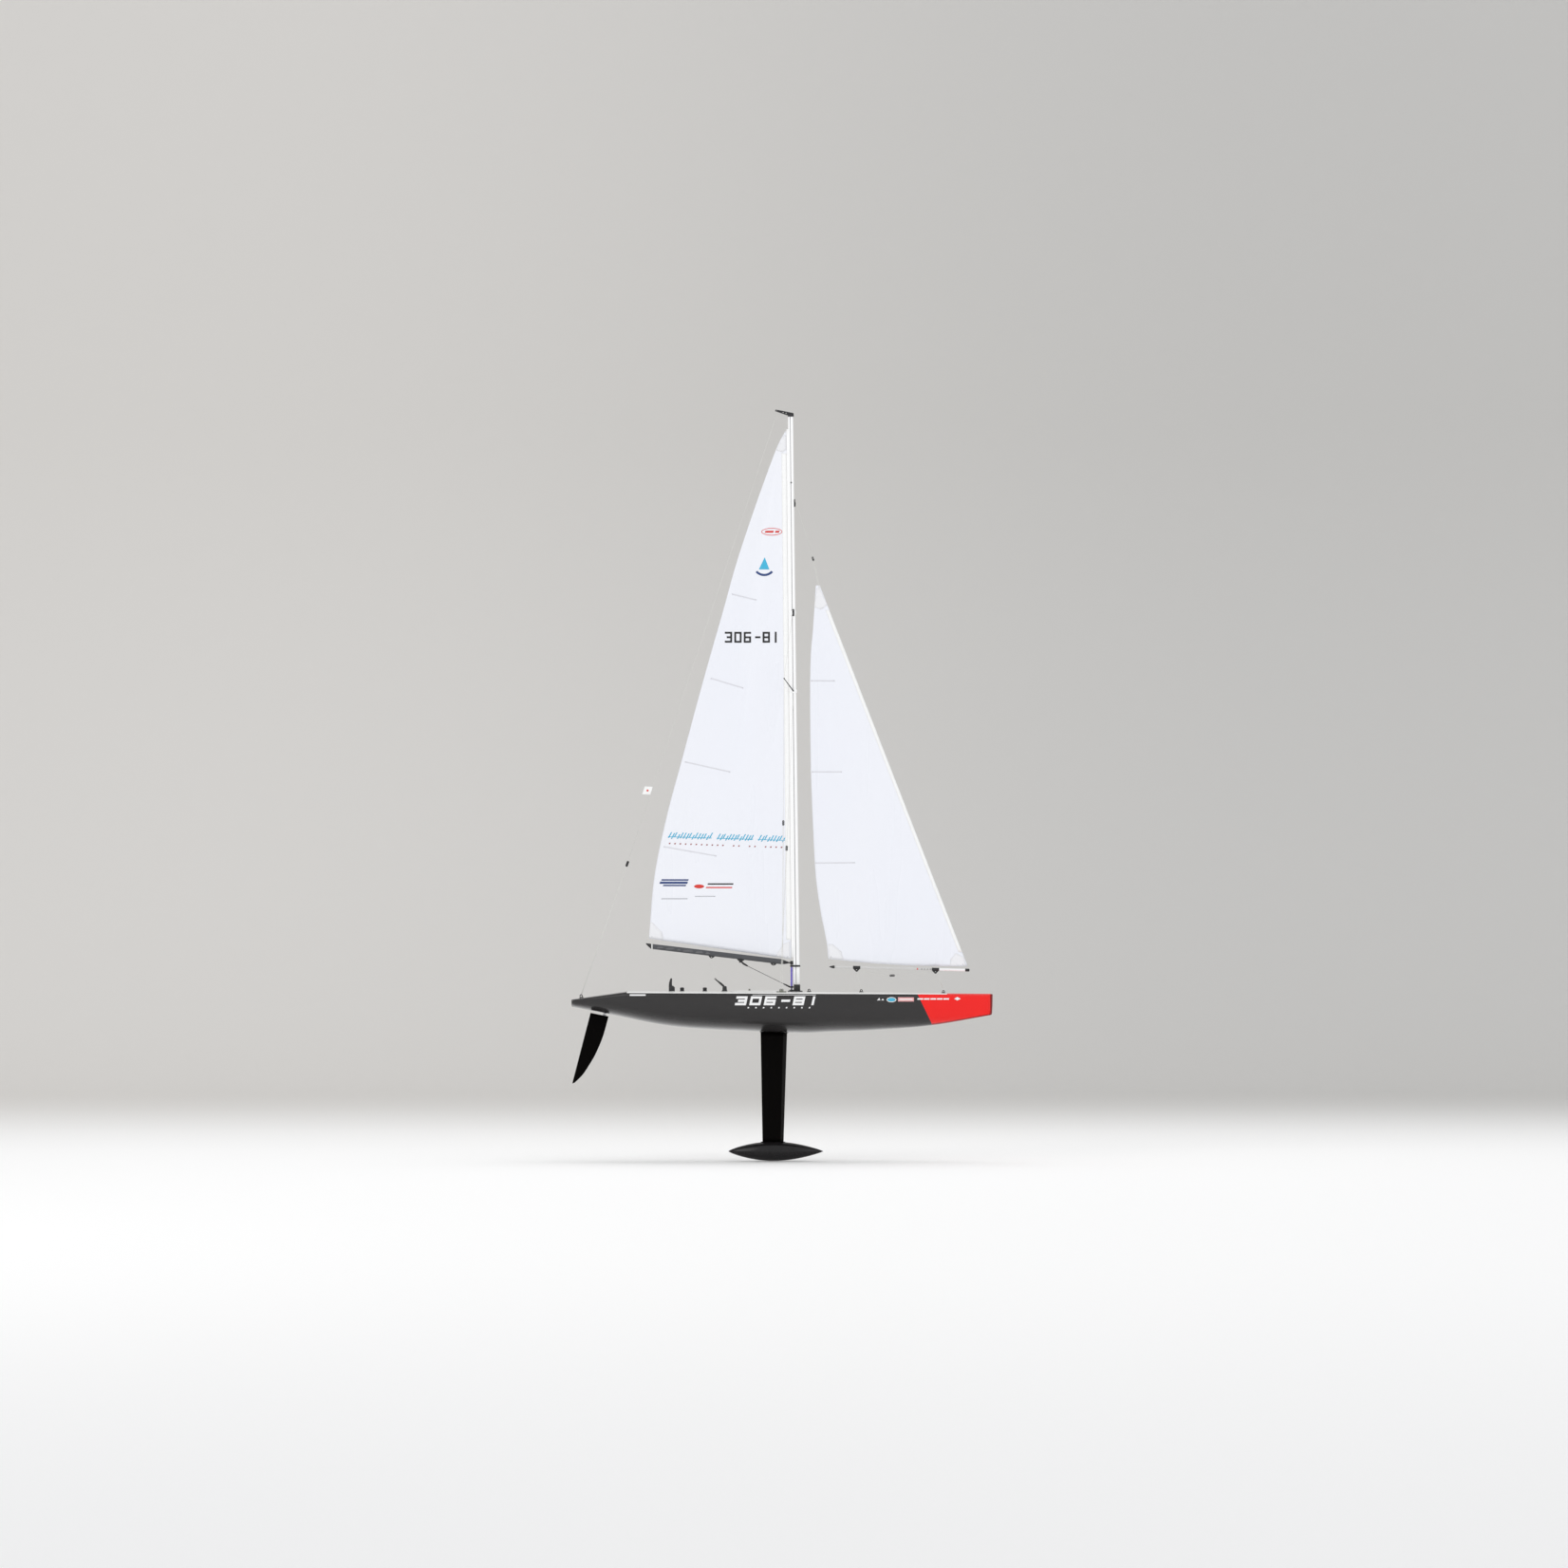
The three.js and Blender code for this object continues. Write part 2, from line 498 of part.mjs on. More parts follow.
function buildMast() {
  const stepSeat = deckTop(MAST.baseX) + GAP;
  const foot = panel(33, 68, 16, 4, stepSeat, 2.4);
  const block = box(47, 62.5, -7, 7, stepSeat + 1, MAST.footZ - GAP);
  place('mast_step', join(foot, block), 'black');
  const postTop = deckTop(52) - DECK_THICKNESS - 0.8;
  place('mast_post', rod(vec(52, 0, 1.5), vec(52, 0, postTop), 4, 12), 'silver');
  const bore = loft([mastRing(MAST.footZ - 5, -MAST.wall), mastRing(MAST.topZ + 5, -MAST.wall)]);
  place('mast', cut(loft([mastRing(MAST.footZ, 0), mastRing(MAST.topZ, 0)]), bore), 'silver');

  const rodX = luffX(130);
  const rodTop = GOOSENECK_Z - 4.6 - GAP;
  place('gooseneck_rod', rod(vec(rodX, 0, stepSeat + 2.4 + GAP), vec(rodX, 0, rodTop), 1.8, 12), 'violet');

  const collar = mastBand(153.6, 4.2, 1.8);
  const lug = box(rodX - 3.6, mastX(150), -3.6, 3.6, 153.8, 157.6);
  const rodHole = rod(vec(rodX, 0, 140), vec(rodX, 0, 165), 1.8 + GAP, 12);
  const collarSolid = surface(solid(collar.outside).add(solid(lug)).subtract(solid(collar.inside))
    .subtract(solid(rodHole)));
  place('mast_collar', collarSolid, 'black');

  const crane = plate([[2.9, 1478.4], [3.4, 1482.2], [46.8, 1473.5], [47.4, 1465.6], [30, 1468.6],
    [12, 1475]], 5);
  place('masthead_crane', crane, 'black');

  const hookFace = mastX(1262) + mastHalfChord(1262) + GAP;
  place('forestay_hook', plate([[hookFace, 1249], [hookFace + 3.2, 1250], [hookFace + 3.6, 1258],
    [hookFace + 2.4, 1261.5], [hookFace + 2.2, 1267], [hookFace, 1268]], 4), 'black');

  const tang = mastBand(TANG_Z - 6, 12, 1);
  place('shroud_tang', cut(tang.outside, tang.inside), 'black');

  const bracket = mastBand(SPREADER.z - 5, 10, 1.4);
  const arms = [-1, 1].map((side) => sweep([
    vec(mastX(SPREADER.z), side * (mastHalfWidth(SPREADER.z) + 1), SPREADER.z),
    vec(SPREADER.tipX, side * SPREADER.tipY, SPREADER.tipZ)], [SPREADER.radius, SPREADER.radius * 0.8], 8));
  const spreaders = surface(solid(bracket.outside).add(solid(arms[0])).add(solid(arms[1]))
    .subtract(solid(bracket.inside)));
  place('spreaders', spreaders, 'black');
}

// A stay with its doubled lower part, the slotted tension slider, and the single line above it.
function stay(foot, slider, above) {
  const up = slider.clone().sub(foot).normalize();
  const half = 6;
  const low = slider.clone().addScaledVector(up, -half);
  const high = slider.clone().addScaledVector(up, half);
  const wideLow = low.clone().addScaledVector(up, 1);
  const wideHigh = high.clone().addScaledVector(up, -1);
  return sweep([foot, low, wideLow, wideHigh, high, ...above],
    [DOUBLED_RADIUS, DOUBLED_RADIUS, 2.4, 2.4, STAY_RADIUS, ...above.map(() => STAY_RADIUS)], 8);
}

function buildRigging() {
  for (const [side, word] of [[1, 'port'], [-1, 'starboard']]) {
    const seat = deckTop(CHAINPLATE.x, CHAINPLATE.y) + GAP + 0.4;
    const y = side * CHAINPLATE.y;
    const base = box(CHAINPLATE.x - 12, CHAINPLATE.x + 12, y - 3.5, y + 3.5, seat, seat + 2.4);
    const ear = box(CHAINPLATE.x - 5, CHAINPLATE.x + 5, y - 1, y + 1, seat + 1, seat + 8);
    place(`chainplate_${word}`, join(base, ear), 'grey');

    const footZ = seat + 8.6;
    const tipY = side * (SPREADER.tipY + 1.8);
    const upperFoot = vec(CHAINPLATE.x + 2.4, side * CHAINPLATE.y, footZ);
    const tip = vec(SPREADER.tipX, tipY, SPREADER.tipZ);
    const upperSlider = upperFoot.clone().lerp(tip, (UPPER_BOWSIE_Z - footZ) / (SPREADER.tipZ - footZ));
    const tang = vec(mastX(TANG_Z), side * (mastHalfWidth(TANG_Z) + 2.2), TANG_Z);
    place(`upper_shroud_${word}`, stay(upperFoot, upperSlider, [tip, tang]), 'cord');

    const lowerFoot = vec(CHAINPLATE.x - 2.4, side * CHAINPLATE.y, footZ);
    const root = vec(mastX(SPREADER.z), side * (mastHalfWidth(SPREADER.z) + 3.4), SPREADER.z - 8);
    const lowerSlider = lowerFoot.clone().lerp(root, (LOWER_BOWSIE_Z - footZ) / (root.z - footZ));
    place(`lower_shroud_${word}`, stay(lowerFoot, lowerSlider, [root]), 'cord');
  }

  const backFoot = vec(BACKSTAY.deckX, 0, deckTop(BACKSTAY.deckX) + 9.4);
  const slider = vec(BACKSTAY.bowsieX, 0, BACKSTAY.bowsieZ);
  const top = vec(BACKSTAY.topX, 0, BACKSTAY.topZ - 1.6);
  const thin = slider.clone().addScaledVector(top.clone().sub(slider).normalize(), 1);
  place('backstay', sweep([backFoot, slider, thin, top],
    [DOUBLED_RADIUS, DOUBLED_RADIUS, STAY_RADIUS, STAY_RADIUS]), 'cord');
  const up = slider.clone().sub(backFoot).normalize();
  const reach = (distance) => slider.clone().addScaledVector(up, distance);
  place('backstay_bowsie', cut(sweep([reach(-7), reach(-5), reach(5), reach(7)], [2.4, 3, 3, 2.4], 12),
    rod(reach(-12), reach(12), DOUBLED_RADIUS + 0.5, 8)), 'black');

  const stayX = (z) => slider.x + ((z - slider.z) * (top.x - slider.x)) / (top.z - slider.z);
  const low = FLAG.z - FLAG.size / 2;
  const high = FLAG.z + FLAG.size / 2;
  const hoistLow = stayX(low) - 1.4;
  const hoistHigh = stayX(high) - 1.4;
  place('flag', plate([[hoistLow, low], [hoistHigh, high], [hoistHigh - FLAG.size, high + 1],
    [hoistLow - FLAG.size, low + 1]], FLAG.thickness), 'white');
}

// ---------------------------------------------------------------- deck fittings

// A screwed-down eye: a foot with a ring standing on it, square to the deck.
function eye(x, ringRadius) {
  const foot = turned([[0, 0], [5.5, 0], [5.5, 1.2], [3, 2], [0, 2]], vec(0, 0, 0), 12);
  const ring = new THREE.TorusGeometry(ringRadius, 0.9, 6, 14).rotateX(Math.PI / 2);
  ring.translate(0, 0, 1.4 + ringRadius);
  const slope = (deckTop(x + 5) - deckTop(x - 5)) / 10;
  return join(foot, ring).rotateY(-Math.atan(slope)).translate(x, 0, deckTop(x) + GAP);
}

function buildFittings() {
  place('stern_eye', eye(BACKSTAY.deckX, 3), 'black');
  place('fore_deck_eye', eye(83.5, 2.4), 'black');
  place('jib_sheet_eye', eye(207.5, 2.4), 'black');
  place('jib_eye', eye(JIB_PIVOT.deck[0], 2.4), 'black');

  const winch = [[0, 0], [5.6, 0], [5.4, 2], [3.2, 3.4], [3.2, 6], [4.6, 7.6], [4, 9], [0, 9.4]];
  place('deck_winch_aft', turned(winch, vec(-218, 0, deckTop(-218) + GAP), 14), 'black');
  place('deck_winch_fore', turned(winch, vec(-164, 0, deckTop(-164) + GAP), 14), 'black');

  const post = [[0, 0], [7.5, 0], [7, 3], [4.6, 6.4], [3.4, 10], [2.8, 20], [2, 30], [0, 31]];
  place('aerial_post', turned(post, vec(-242.5, 0, deckTop(-242.5) + GAP), 14), 'black');

  const guideSeat = deckTop(-117) + GAP;
  const guideBase = turned([[0, 0], [7, 0], [7, 3], [5, 6], [4.6, 11], [3.6, 13], [0, 13]],
    vec(-117, 0, guideSeat), 14);
  const lever = sweep([vec(-117, 0, guideSeat + 10), vec(-126, 0, 114), vec(-139, 0, 124)],
    [2.4, 2.6, 1.6], 8);
  place('sheet_guide', join(guideBase, lever), 'black');
}

// ---------------------------------------------------------------- sails

// A thin cambered sail. rowAt(v) gives the luff and leech points of the row at v, 0 foot to 1 head.
function sail(rowAt, camber, footRound, rows, columns) {
  const rings = [];
  for (let r = 0; r <= rows; r += 1) {
    const v = r / rows;
    const { luff, leech } = rowAt(v);
    const chord = luff.distanceTo(leech);
    const near = [];
    for (let c = 0; c <= columns; c += 1) {
      const s = c / columns;
      const belly = 4 * s * (1 - s);
      const point = luff.clone().lerp(leech, s);
      near.push(point.add(vec(0, camber * chord * belly, -footRound * belly * (1 - v) ** 8)));
    }
    const far = near.map((p) => vec(p.x, p.y + SAIL_THICKNESS / 2, p.z)).reverse();
    rings.push([...near.map((p) => vec(p.x, p.y - SAIL_THICKNESS / 2, p.z)), ...far]);
  }
  return loft(rings);
}

function mainsailRow(v) {
  const luffZ = mix(MAINSAIL.tackZ, MAINSAIL.headZ, v);
  const leechZ = mix(MAINSAIL.clewZ, MAINSAIL.headZ, v);
  return { luff: vec(luffX(luffZ), 0, luffZ), leech: vec(curveAt(MAIN_LEECH, leechZ), 0, leechZ) };
}

function jibRow(v) {
  const luff = vec(mix(JIB.tack[0], JIB.head[0], v), 0, mix(JIB.tack[1], JIB.head[1], v));
  const leechZ = mix(JIB.clewZ, JIB.head[1], v);
  return { luff, leech: vec(curveAt(JIB_LEECH, leechZ), 0, leechZ) };
}

// ---------------------------------------------------------------- booms and running rigging

function boomPoint(x, drop = 0) {
  const t = (x - BOOM.aftX) / (BOOM.foreX - BOOM.aftX);
  return vec(x, 0, mix(BOOM.aftZ, BOOM.foreZ, t) - drop);
}

// A ring round the boom; a smaller one can be kept level with the boom's top.
function boomRing(x, scale, topped = false) {
  const sides = 12;
  const centre = boomPoint(x, topped ? BOOM.halfHeight * (scale - 1) : 0);
  const ring = [];
  for (let k = 0; k < sides; k += 1) {
    const angle = (2 * Math.PI * k) / sides;
    ring.push(vec(centre.x, BOOM.halfWidth * scale * Math.sin(angle),
      centre.z + BOOM.halfHeight * scale * Math.cos(angle)));
  }
  return ring;
}

function buildMainBoom() {
  const eyes = BOOM.eyes.map((x) => rod(boomPoint(x, 4), boomPoint(x, BOOM.halfHeight + 5), 1.6, 8));
  const tube = loft([boomRing(BOOM.aftX, 1), boomRing(BOOM.foreX, 1)]);
  const bore = loft([boomRing(BOOM.aftX - 5, 0.8), boomRing(BOOM.foreX + 5, 0.8)]);
  place('main_boom', join(cut(tube, bore), ...eyes), 'boom');
  place('boom_end_cap', loft([boomRing(BOOM.aftX - BOOM.capLength, 0.2, true),
    boomRing(BOOM.aftX - BOOM.capLength / 2, 0.65, true), boomRing(BOOM.aftX - GAP, 1)]), 'black');

  const pivotX = luffX(GOOSENECK_Z);
  const hub = turned([[0, 0], [3.4, 0], [3.4, 9], [0, 9]], vec(pivotX, 0, GOOSENECK_Z - 4.6), 14);
  const fork = box(BOOM.foreX + GAP, pivotX, -2.2, 2.2, GOOSENECK_Z - 4, GOOSENECK_Z + 3.4);
  place('gooseneck', join(hub, fork), 'black');

  const vangX = luffX(105);
  const vangTop = boomPoint(VANG.boomX, BOOM.halfHeight + 9);
  const collar = turned([[0, 0], [4.2, 0], [4.2, 4], [0, 4]], vec(vangX, 0, VANG.collarZ), 12);
  const pull = sweep([vec(vangX - 3, 0, VANG.collarZ + 2), vec(20, 0, 114.5), vec(-60, 0, 154),
    vec(-66, 0, 157), vangTop], [1.8, 0.8, 0.8, 2.4, 2.4], 8);
  const vangHole = rod(vec(vangX, 0, 90), vec(vangX, 0, 120), 1.8 + 0.4, 12);
  place('vang', cut(join(collar, pull), vangHole), 'black');

  place('mainsail', sail(mainsailRow, MAINSAIL.camber, 0, 16, 8), 'film');
  const sheetEnd = boomPoint(BOOM.eyes[0], BOOM.halfHeight + 5.8);
  place('mainsheet', rod(vec(-140.3, 0, 126.8), sheetEnd, 0.6, 8), 'cord');
}

function buildJib() {
  const [deckX, deckZ] = JIB_PIVOT.deck;
  const [mastEndX, mastEndZ] = JIB_PIVOT.mast;
  const pivotX = (z) => mix(deckX, mastEndX, (z - deckZ) / (mastEndZ - deckZ));
  const along = (x) => (x - JIB_BOOM.aftX) / (JIB_BOOM.foreX - JIB_BOOM.aftX);
  const boomZ = (x) => mix(JIB_BOOM.aftZ, JIB_BOOM.foreZ, along(x));
  const tube = sweep([vec(JIB_BOOM.aftX, 0, JIB_BOOM.aftZ), vec(JIB_BOOM.foreX, 0, JIB_BOOM.foreZ)],
    [JIB_BOOM.radius, JIB_BOOM.radius], 12);
  const clips = [JIB_CLIPS.sheetX, JIB_CLIPS.swivelX].map((x) => (
    box(x - 4, x + 4, -2, 2, boomZ(x) - JIB_CLIPS.drop, boomZ(x))));
  place('jib_boom', join(tube, ...clips), 'silver');

  const lineTop = boomZ(JIB_CLIPS.swivelX) - JIB_CLIPS.drop - 0.5;
  const swivelFoot = vec(pivotX(104), 0, 104.6);
  place('jib_swivel_line', sweep([swivelFoot, vec(pivotX(lineTop), 0, lineTop)], [0.8, 0.8], 8), 'cord');
  const sheetTop = vec(JIB_CLIPS.sheetX + 0.5, 0, boomZ(JIB_CLIPS.sheetX) - JIB_CLIPS.drop - 0.7);
  place('jib_sheet', rod(vec(206.5, 0, deckTop(207.5) + 7.6), sheetTop, 0.6, 8), 'cord');

  const head = vec(pivotX(JIB.head[1] + 4) - 1, 0, JIB.head[1] + 3);
  const slider = vec(pivotX(JIB_HALYARD_BOWSIE_Z), 0, JIB_HALYARD_BOWSIE_Z);
  place('jib_halyard', stay(head, slider, [vec(mastEndX + 0.8, 0, mastEndZ)]), 'cord');
  place('jib_sail', sail(jibRow, JIB.camber, JIB.footRound, 14, 8), 'film');
}

buildHull();
buildDeck();
buildKeel();
buildSteering();
buildEquipment();
buildMast();
buildRigging();
buildFittings();
buildMainBoom();
buildJib();

export default boat;
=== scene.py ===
"""A one-metre radio-controlled racing sloop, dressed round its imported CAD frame.

Shapes are written in millimetres in the frame's axes (+X bow, +Y port, +Z up) and scaled to metres
as each mesh is made.
"""
import math

import bmesh
import bpy
from mathutils import Matrix, Vector


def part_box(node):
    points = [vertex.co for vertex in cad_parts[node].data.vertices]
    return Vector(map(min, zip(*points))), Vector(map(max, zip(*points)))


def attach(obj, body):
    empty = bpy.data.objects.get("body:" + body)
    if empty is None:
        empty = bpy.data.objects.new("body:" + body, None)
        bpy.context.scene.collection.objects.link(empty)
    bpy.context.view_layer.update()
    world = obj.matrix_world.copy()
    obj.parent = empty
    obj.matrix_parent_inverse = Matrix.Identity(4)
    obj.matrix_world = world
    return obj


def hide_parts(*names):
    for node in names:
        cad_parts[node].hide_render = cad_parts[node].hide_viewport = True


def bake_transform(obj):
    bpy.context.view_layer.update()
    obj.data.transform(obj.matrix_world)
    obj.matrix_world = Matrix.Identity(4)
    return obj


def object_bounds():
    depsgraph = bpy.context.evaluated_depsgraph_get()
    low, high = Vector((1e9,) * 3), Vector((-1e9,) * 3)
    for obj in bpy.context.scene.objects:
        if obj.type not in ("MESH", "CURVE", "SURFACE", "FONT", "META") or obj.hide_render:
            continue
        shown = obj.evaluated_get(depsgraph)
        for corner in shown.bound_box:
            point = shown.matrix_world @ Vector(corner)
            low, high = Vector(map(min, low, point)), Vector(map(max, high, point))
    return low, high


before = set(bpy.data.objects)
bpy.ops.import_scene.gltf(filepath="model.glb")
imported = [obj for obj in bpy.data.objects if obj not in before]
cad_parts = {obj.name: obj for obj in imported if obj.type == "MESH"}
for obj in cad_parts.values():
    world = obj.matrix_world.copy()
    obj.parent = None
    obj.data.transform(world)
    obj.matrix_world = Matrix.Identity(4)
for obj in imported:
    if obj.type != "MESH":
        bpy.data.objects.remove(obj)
CAD_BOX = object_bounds()
MM = 0.001
GAP = 0.3                           # between touching pieces
SIDES = ((-1, "starboard"), (1, "port"))
NUMBER = "306-81"                   # plain figures on the hull and the mainsail


# ---------------------------------------------------------------- places read from the frame

def low(node):
    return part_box(node)[0] / MM


def high(node):
    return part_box(node)[1] / MM


def ends(node):
    """The two corners of a node's box."""
    return low(node), high(node)


def middle(node):
    return (low(node) + high(node)) / 2


# ---------------------------------------------------------------- number helpers

def mix(a, b, t):
    return a + (b - a) * t


def clamp(value, least=0.0, most=1.0):
    return max(least, min(most, value))


def smooth(t):
    t = clamp(t)
    return t * t * (3 - 2 * t)


def curve_at(points, x):
    """The value at x of a smooth curve through (x, value) points."""
    last = len(points) - 1

    def slope(i):
        (xa, va), (xb, vb) = points[max(i - 1, 0)], points[min(i + 1, last)]
        return (vb - va) / (xb - xa)

    i = 0
    while i < last - 1 and x > points[i + 1][0]:
        i += 1
    (x0, v0), (x1, v1) = points[i], points[i + 1]
    span = x1 - x0
    t = clamp((x - x0) / span)
    return ((2 * t**3 - 3 * t**2 + 1) * v0 + (t**3 - 2 * t**2 + t) * span * slope(i)
            + (3 * t**2 - 2 * t**3) * v1 + (t**3 - t**2) * span * slope(i + 1))


def angles(count):
    """Evenly spaced angles round a circle."""
    return [2 * math.pi * k / count for k in range(count)]


# ---------------------------------------------------------------- materials

def add_object(name, data):
    thing = bpy.data.objects.new(name, data)
    bpy.context.scene.collection.objects.link(thing)
    return thing


def node_setup(name):
    mat = bpy.data.materials.new(name)
    mat.use_nodes = True
    tree = mat.node_tree
    return mat, tree, tree.nodes["Principled BSDF"]


def object_space(tree):
    return tree.nodes.new("ShaderNodeTexCoord").outputs["Object"]


def noise_node(tree, vector, scale, detail=3.0, stretch=(1, 1, 1)):
    mapping = tree.nodes.new("ShaderNodeMapping")
    mapping.inputs["Scale"].default_value = stretch
    tree.links.new(vector, mapping.inputs["Vector"])
    node = tree.nodes.new("ShaderNodeTexNoise")
    node.inputs["Scale"].default_value = scale
    node.inputs["Detail"].default_value = detail
    tree.links.new(mapping.outputs["Vector"], node.inputs["Vector"])
    return node.outputs["Fac"]


def two_tones(tree, factor, first, second):
    node = tree.nodes.new("ShaderNodeMix")
    node.data_type = "RGBA"
    node.inputs["A"].default_value = (*first, 1)
    node.inputs["B"].default_value = (*second, 1)
    tree.links.new(factor, node.inputs["Factor"])
    return node.outputs["Result"]


NOISE_RANGE = (0.3, 0.7)            # where most of a noise texture's values lie


def remap(tree, value, source, target=(0, 1), curve="LINEAR"):
    """A value carried from one range to another."""
    node = tree.nodes.new("ShaderNodeMapRange")
    node.interpolation_type = curve
    node.inputs["From Min"].default_value, node.inputs["From Max"].default_value = source
    node.inputs["To Min"].default_value, node.inputs["To Max"].default_value = target
    tree.links.new(value, node.inputs["Value"])
    return node.outputs["Result"]


def bump_from(tree, bsdf, height, strength, distance, under=None):
    node = tree.nodes.new("ShaderNodeBump")
    node.inputs["Strength"].default_value = strength
    node.inputs["Distance"].default_value = distance
    tree.links.new(height, node.inputs["Height"])
    if under is not None:
        tree.links.new(under, node.inputs["Normal"])
    tree.links.new(node.outputs["Normal"], bsdf.inputs["Normal"])
    return node.outputs["Normal"]


def finish(name, colour, roughness, metallic=0.0, coat=0.0, vary=0.08, cloud=30.0, grain=0.1,
           grain_scale=2600.0, stretch=(1, 1, 1), rough_spread=0.05, sheen=0.0, shine=0.5):
    """A surface with soft colour and gloss variation and a fine grain."""
    mat, tree, bsdf = node_setup(name)
    bsdf.inputs["Specular IOR Level"].default_value = shine
    bsdf.inputs["Metallic"].default_value = metallic
    bsdf.inputs["Coat Weight"].default_value = coat
    bsdf.inputs["Coat Roughness"].default_value = 0.05
    bsdf.inputs["Sheen Weight"].default_value = sheen
    where = object_space(tree)
    clouds = noise_node(tree, where, cloud)
    darker = tuple(c * (1 - vary) for c in colour)
    lighter = tuple(min(1.0, c * (1 + vary)) for c in colour)
    tree.links.new(two_tones(tree, clouds, darker, lighter), bsdf.inputs["Base Color"])
    gloss = remap(tree, clouds, NOISE_RANGE, (roughness - rough_spread, roughness + rough_spread))
    tree.links.new(gloss, bsdf.inputs["Roughness"])
    grains = noise_node(tree, where, grain_scale, 2.0, stretch)
    bump_from(tree, bsdf, grains, grain, 0.0002)
    return mat


def braid(name, colour):
    """A laid cord: crossing diagonal ribs in colour and height."""
    mat, tree, bsdf = node_setup(name)
    bsdf.inputs["Roughness"].default_value = 0.7
    bsdf.inputs["Sheen Weight"].default_value = 0.3
    where = object_space(tree)
    ribs = []
    for turn in (0.6, -0.6):
        mapping = tree.nodes.new("ShaderNodeMapping")
        mapping.inputs["Rotation"].default_value = (turn, turn, 0)
        tree.links.new(where, mapping.inputs["Vector"])
        wave = tree.nodes.new("ShaderNodeTexWave")
        wave.bands_direction = "Z"
        wave.inputs["Scale"].default_value = 520
        tree.links.new(mapping.outputs["Vector"], wave.inputs["Vector"])
        ribs.append(wave.outputs["Fac"])
    both = tree.nodes.new("ShaderNodeMath")
    both.operation = "MULTIPLY"
    tree.links.new(ribs[0], both.inputs[0])
    tree.links.new(ribs[1], both.inputs[1])
    shade = tuple(c * 0.72 for c in colour)
    tree.links.new(two_tones(tree, both.outputs[0], shade, colour), bsdf.inputs["Base Color"])
    bump_from(tree, bsdf, both.outputs[0], 0.5, 0.0002)
    return mat


def sail_film(name, colour, tint):
    """White polyester film: a faint scrim weave, long soft creases and an even gloss."""
    mat, tree, bsdf = node_setup(name)
    bsdf.inputs["Specular IOR Level"].default_value = 0.5
    bsdf.inputs["Coat Weight"].default_value = 0.25
    bsdf.inputs["Coat Roughness"].default_value = 0.2
    where = object_space(tree)
    clouds = noise_node(tree, where, 3.2, 2.0, (1, 1, 0.35))
    tree.links.new(two_tones(tree, clouds, colour, tint), bsdf.inputs["Base Color"])
    streaks = noise_node(tree, where, 26.0, 2.0, (1, 1, 0.07))
    tree.links.new(remap(tree, streaks, NOISE_RANGE, (0.24, 0.42)), bsdf.inputs["Roughness"])
    soft = bump_from(tree, bsdf, streaks, 0.35, 0.0016)
    weave = noise_node(tree, where, 1800.0, 1.0)
    bump_from(tree, bsdf, weave, 0.12, 0.0001, soft)
    return mat


def plywood(name):
    mat, tree, bsdf = node_setup(name)
    bsdf.inputs["Roughness"].default_value = 0.55
    where = object_space(tree)
    rings = noise_node(tree, where, 55.0, 6.0, (0.12, 1, 1))
    tree.links.new(two_tones(tree, rings, (0.42, 0.27, 0.14), (0.66, 0.49, 0.30)), bsdf.inputs["Base Color"])
    bump_from(tree, bsdf, rings, 0.25, 0.0003)
    return mat


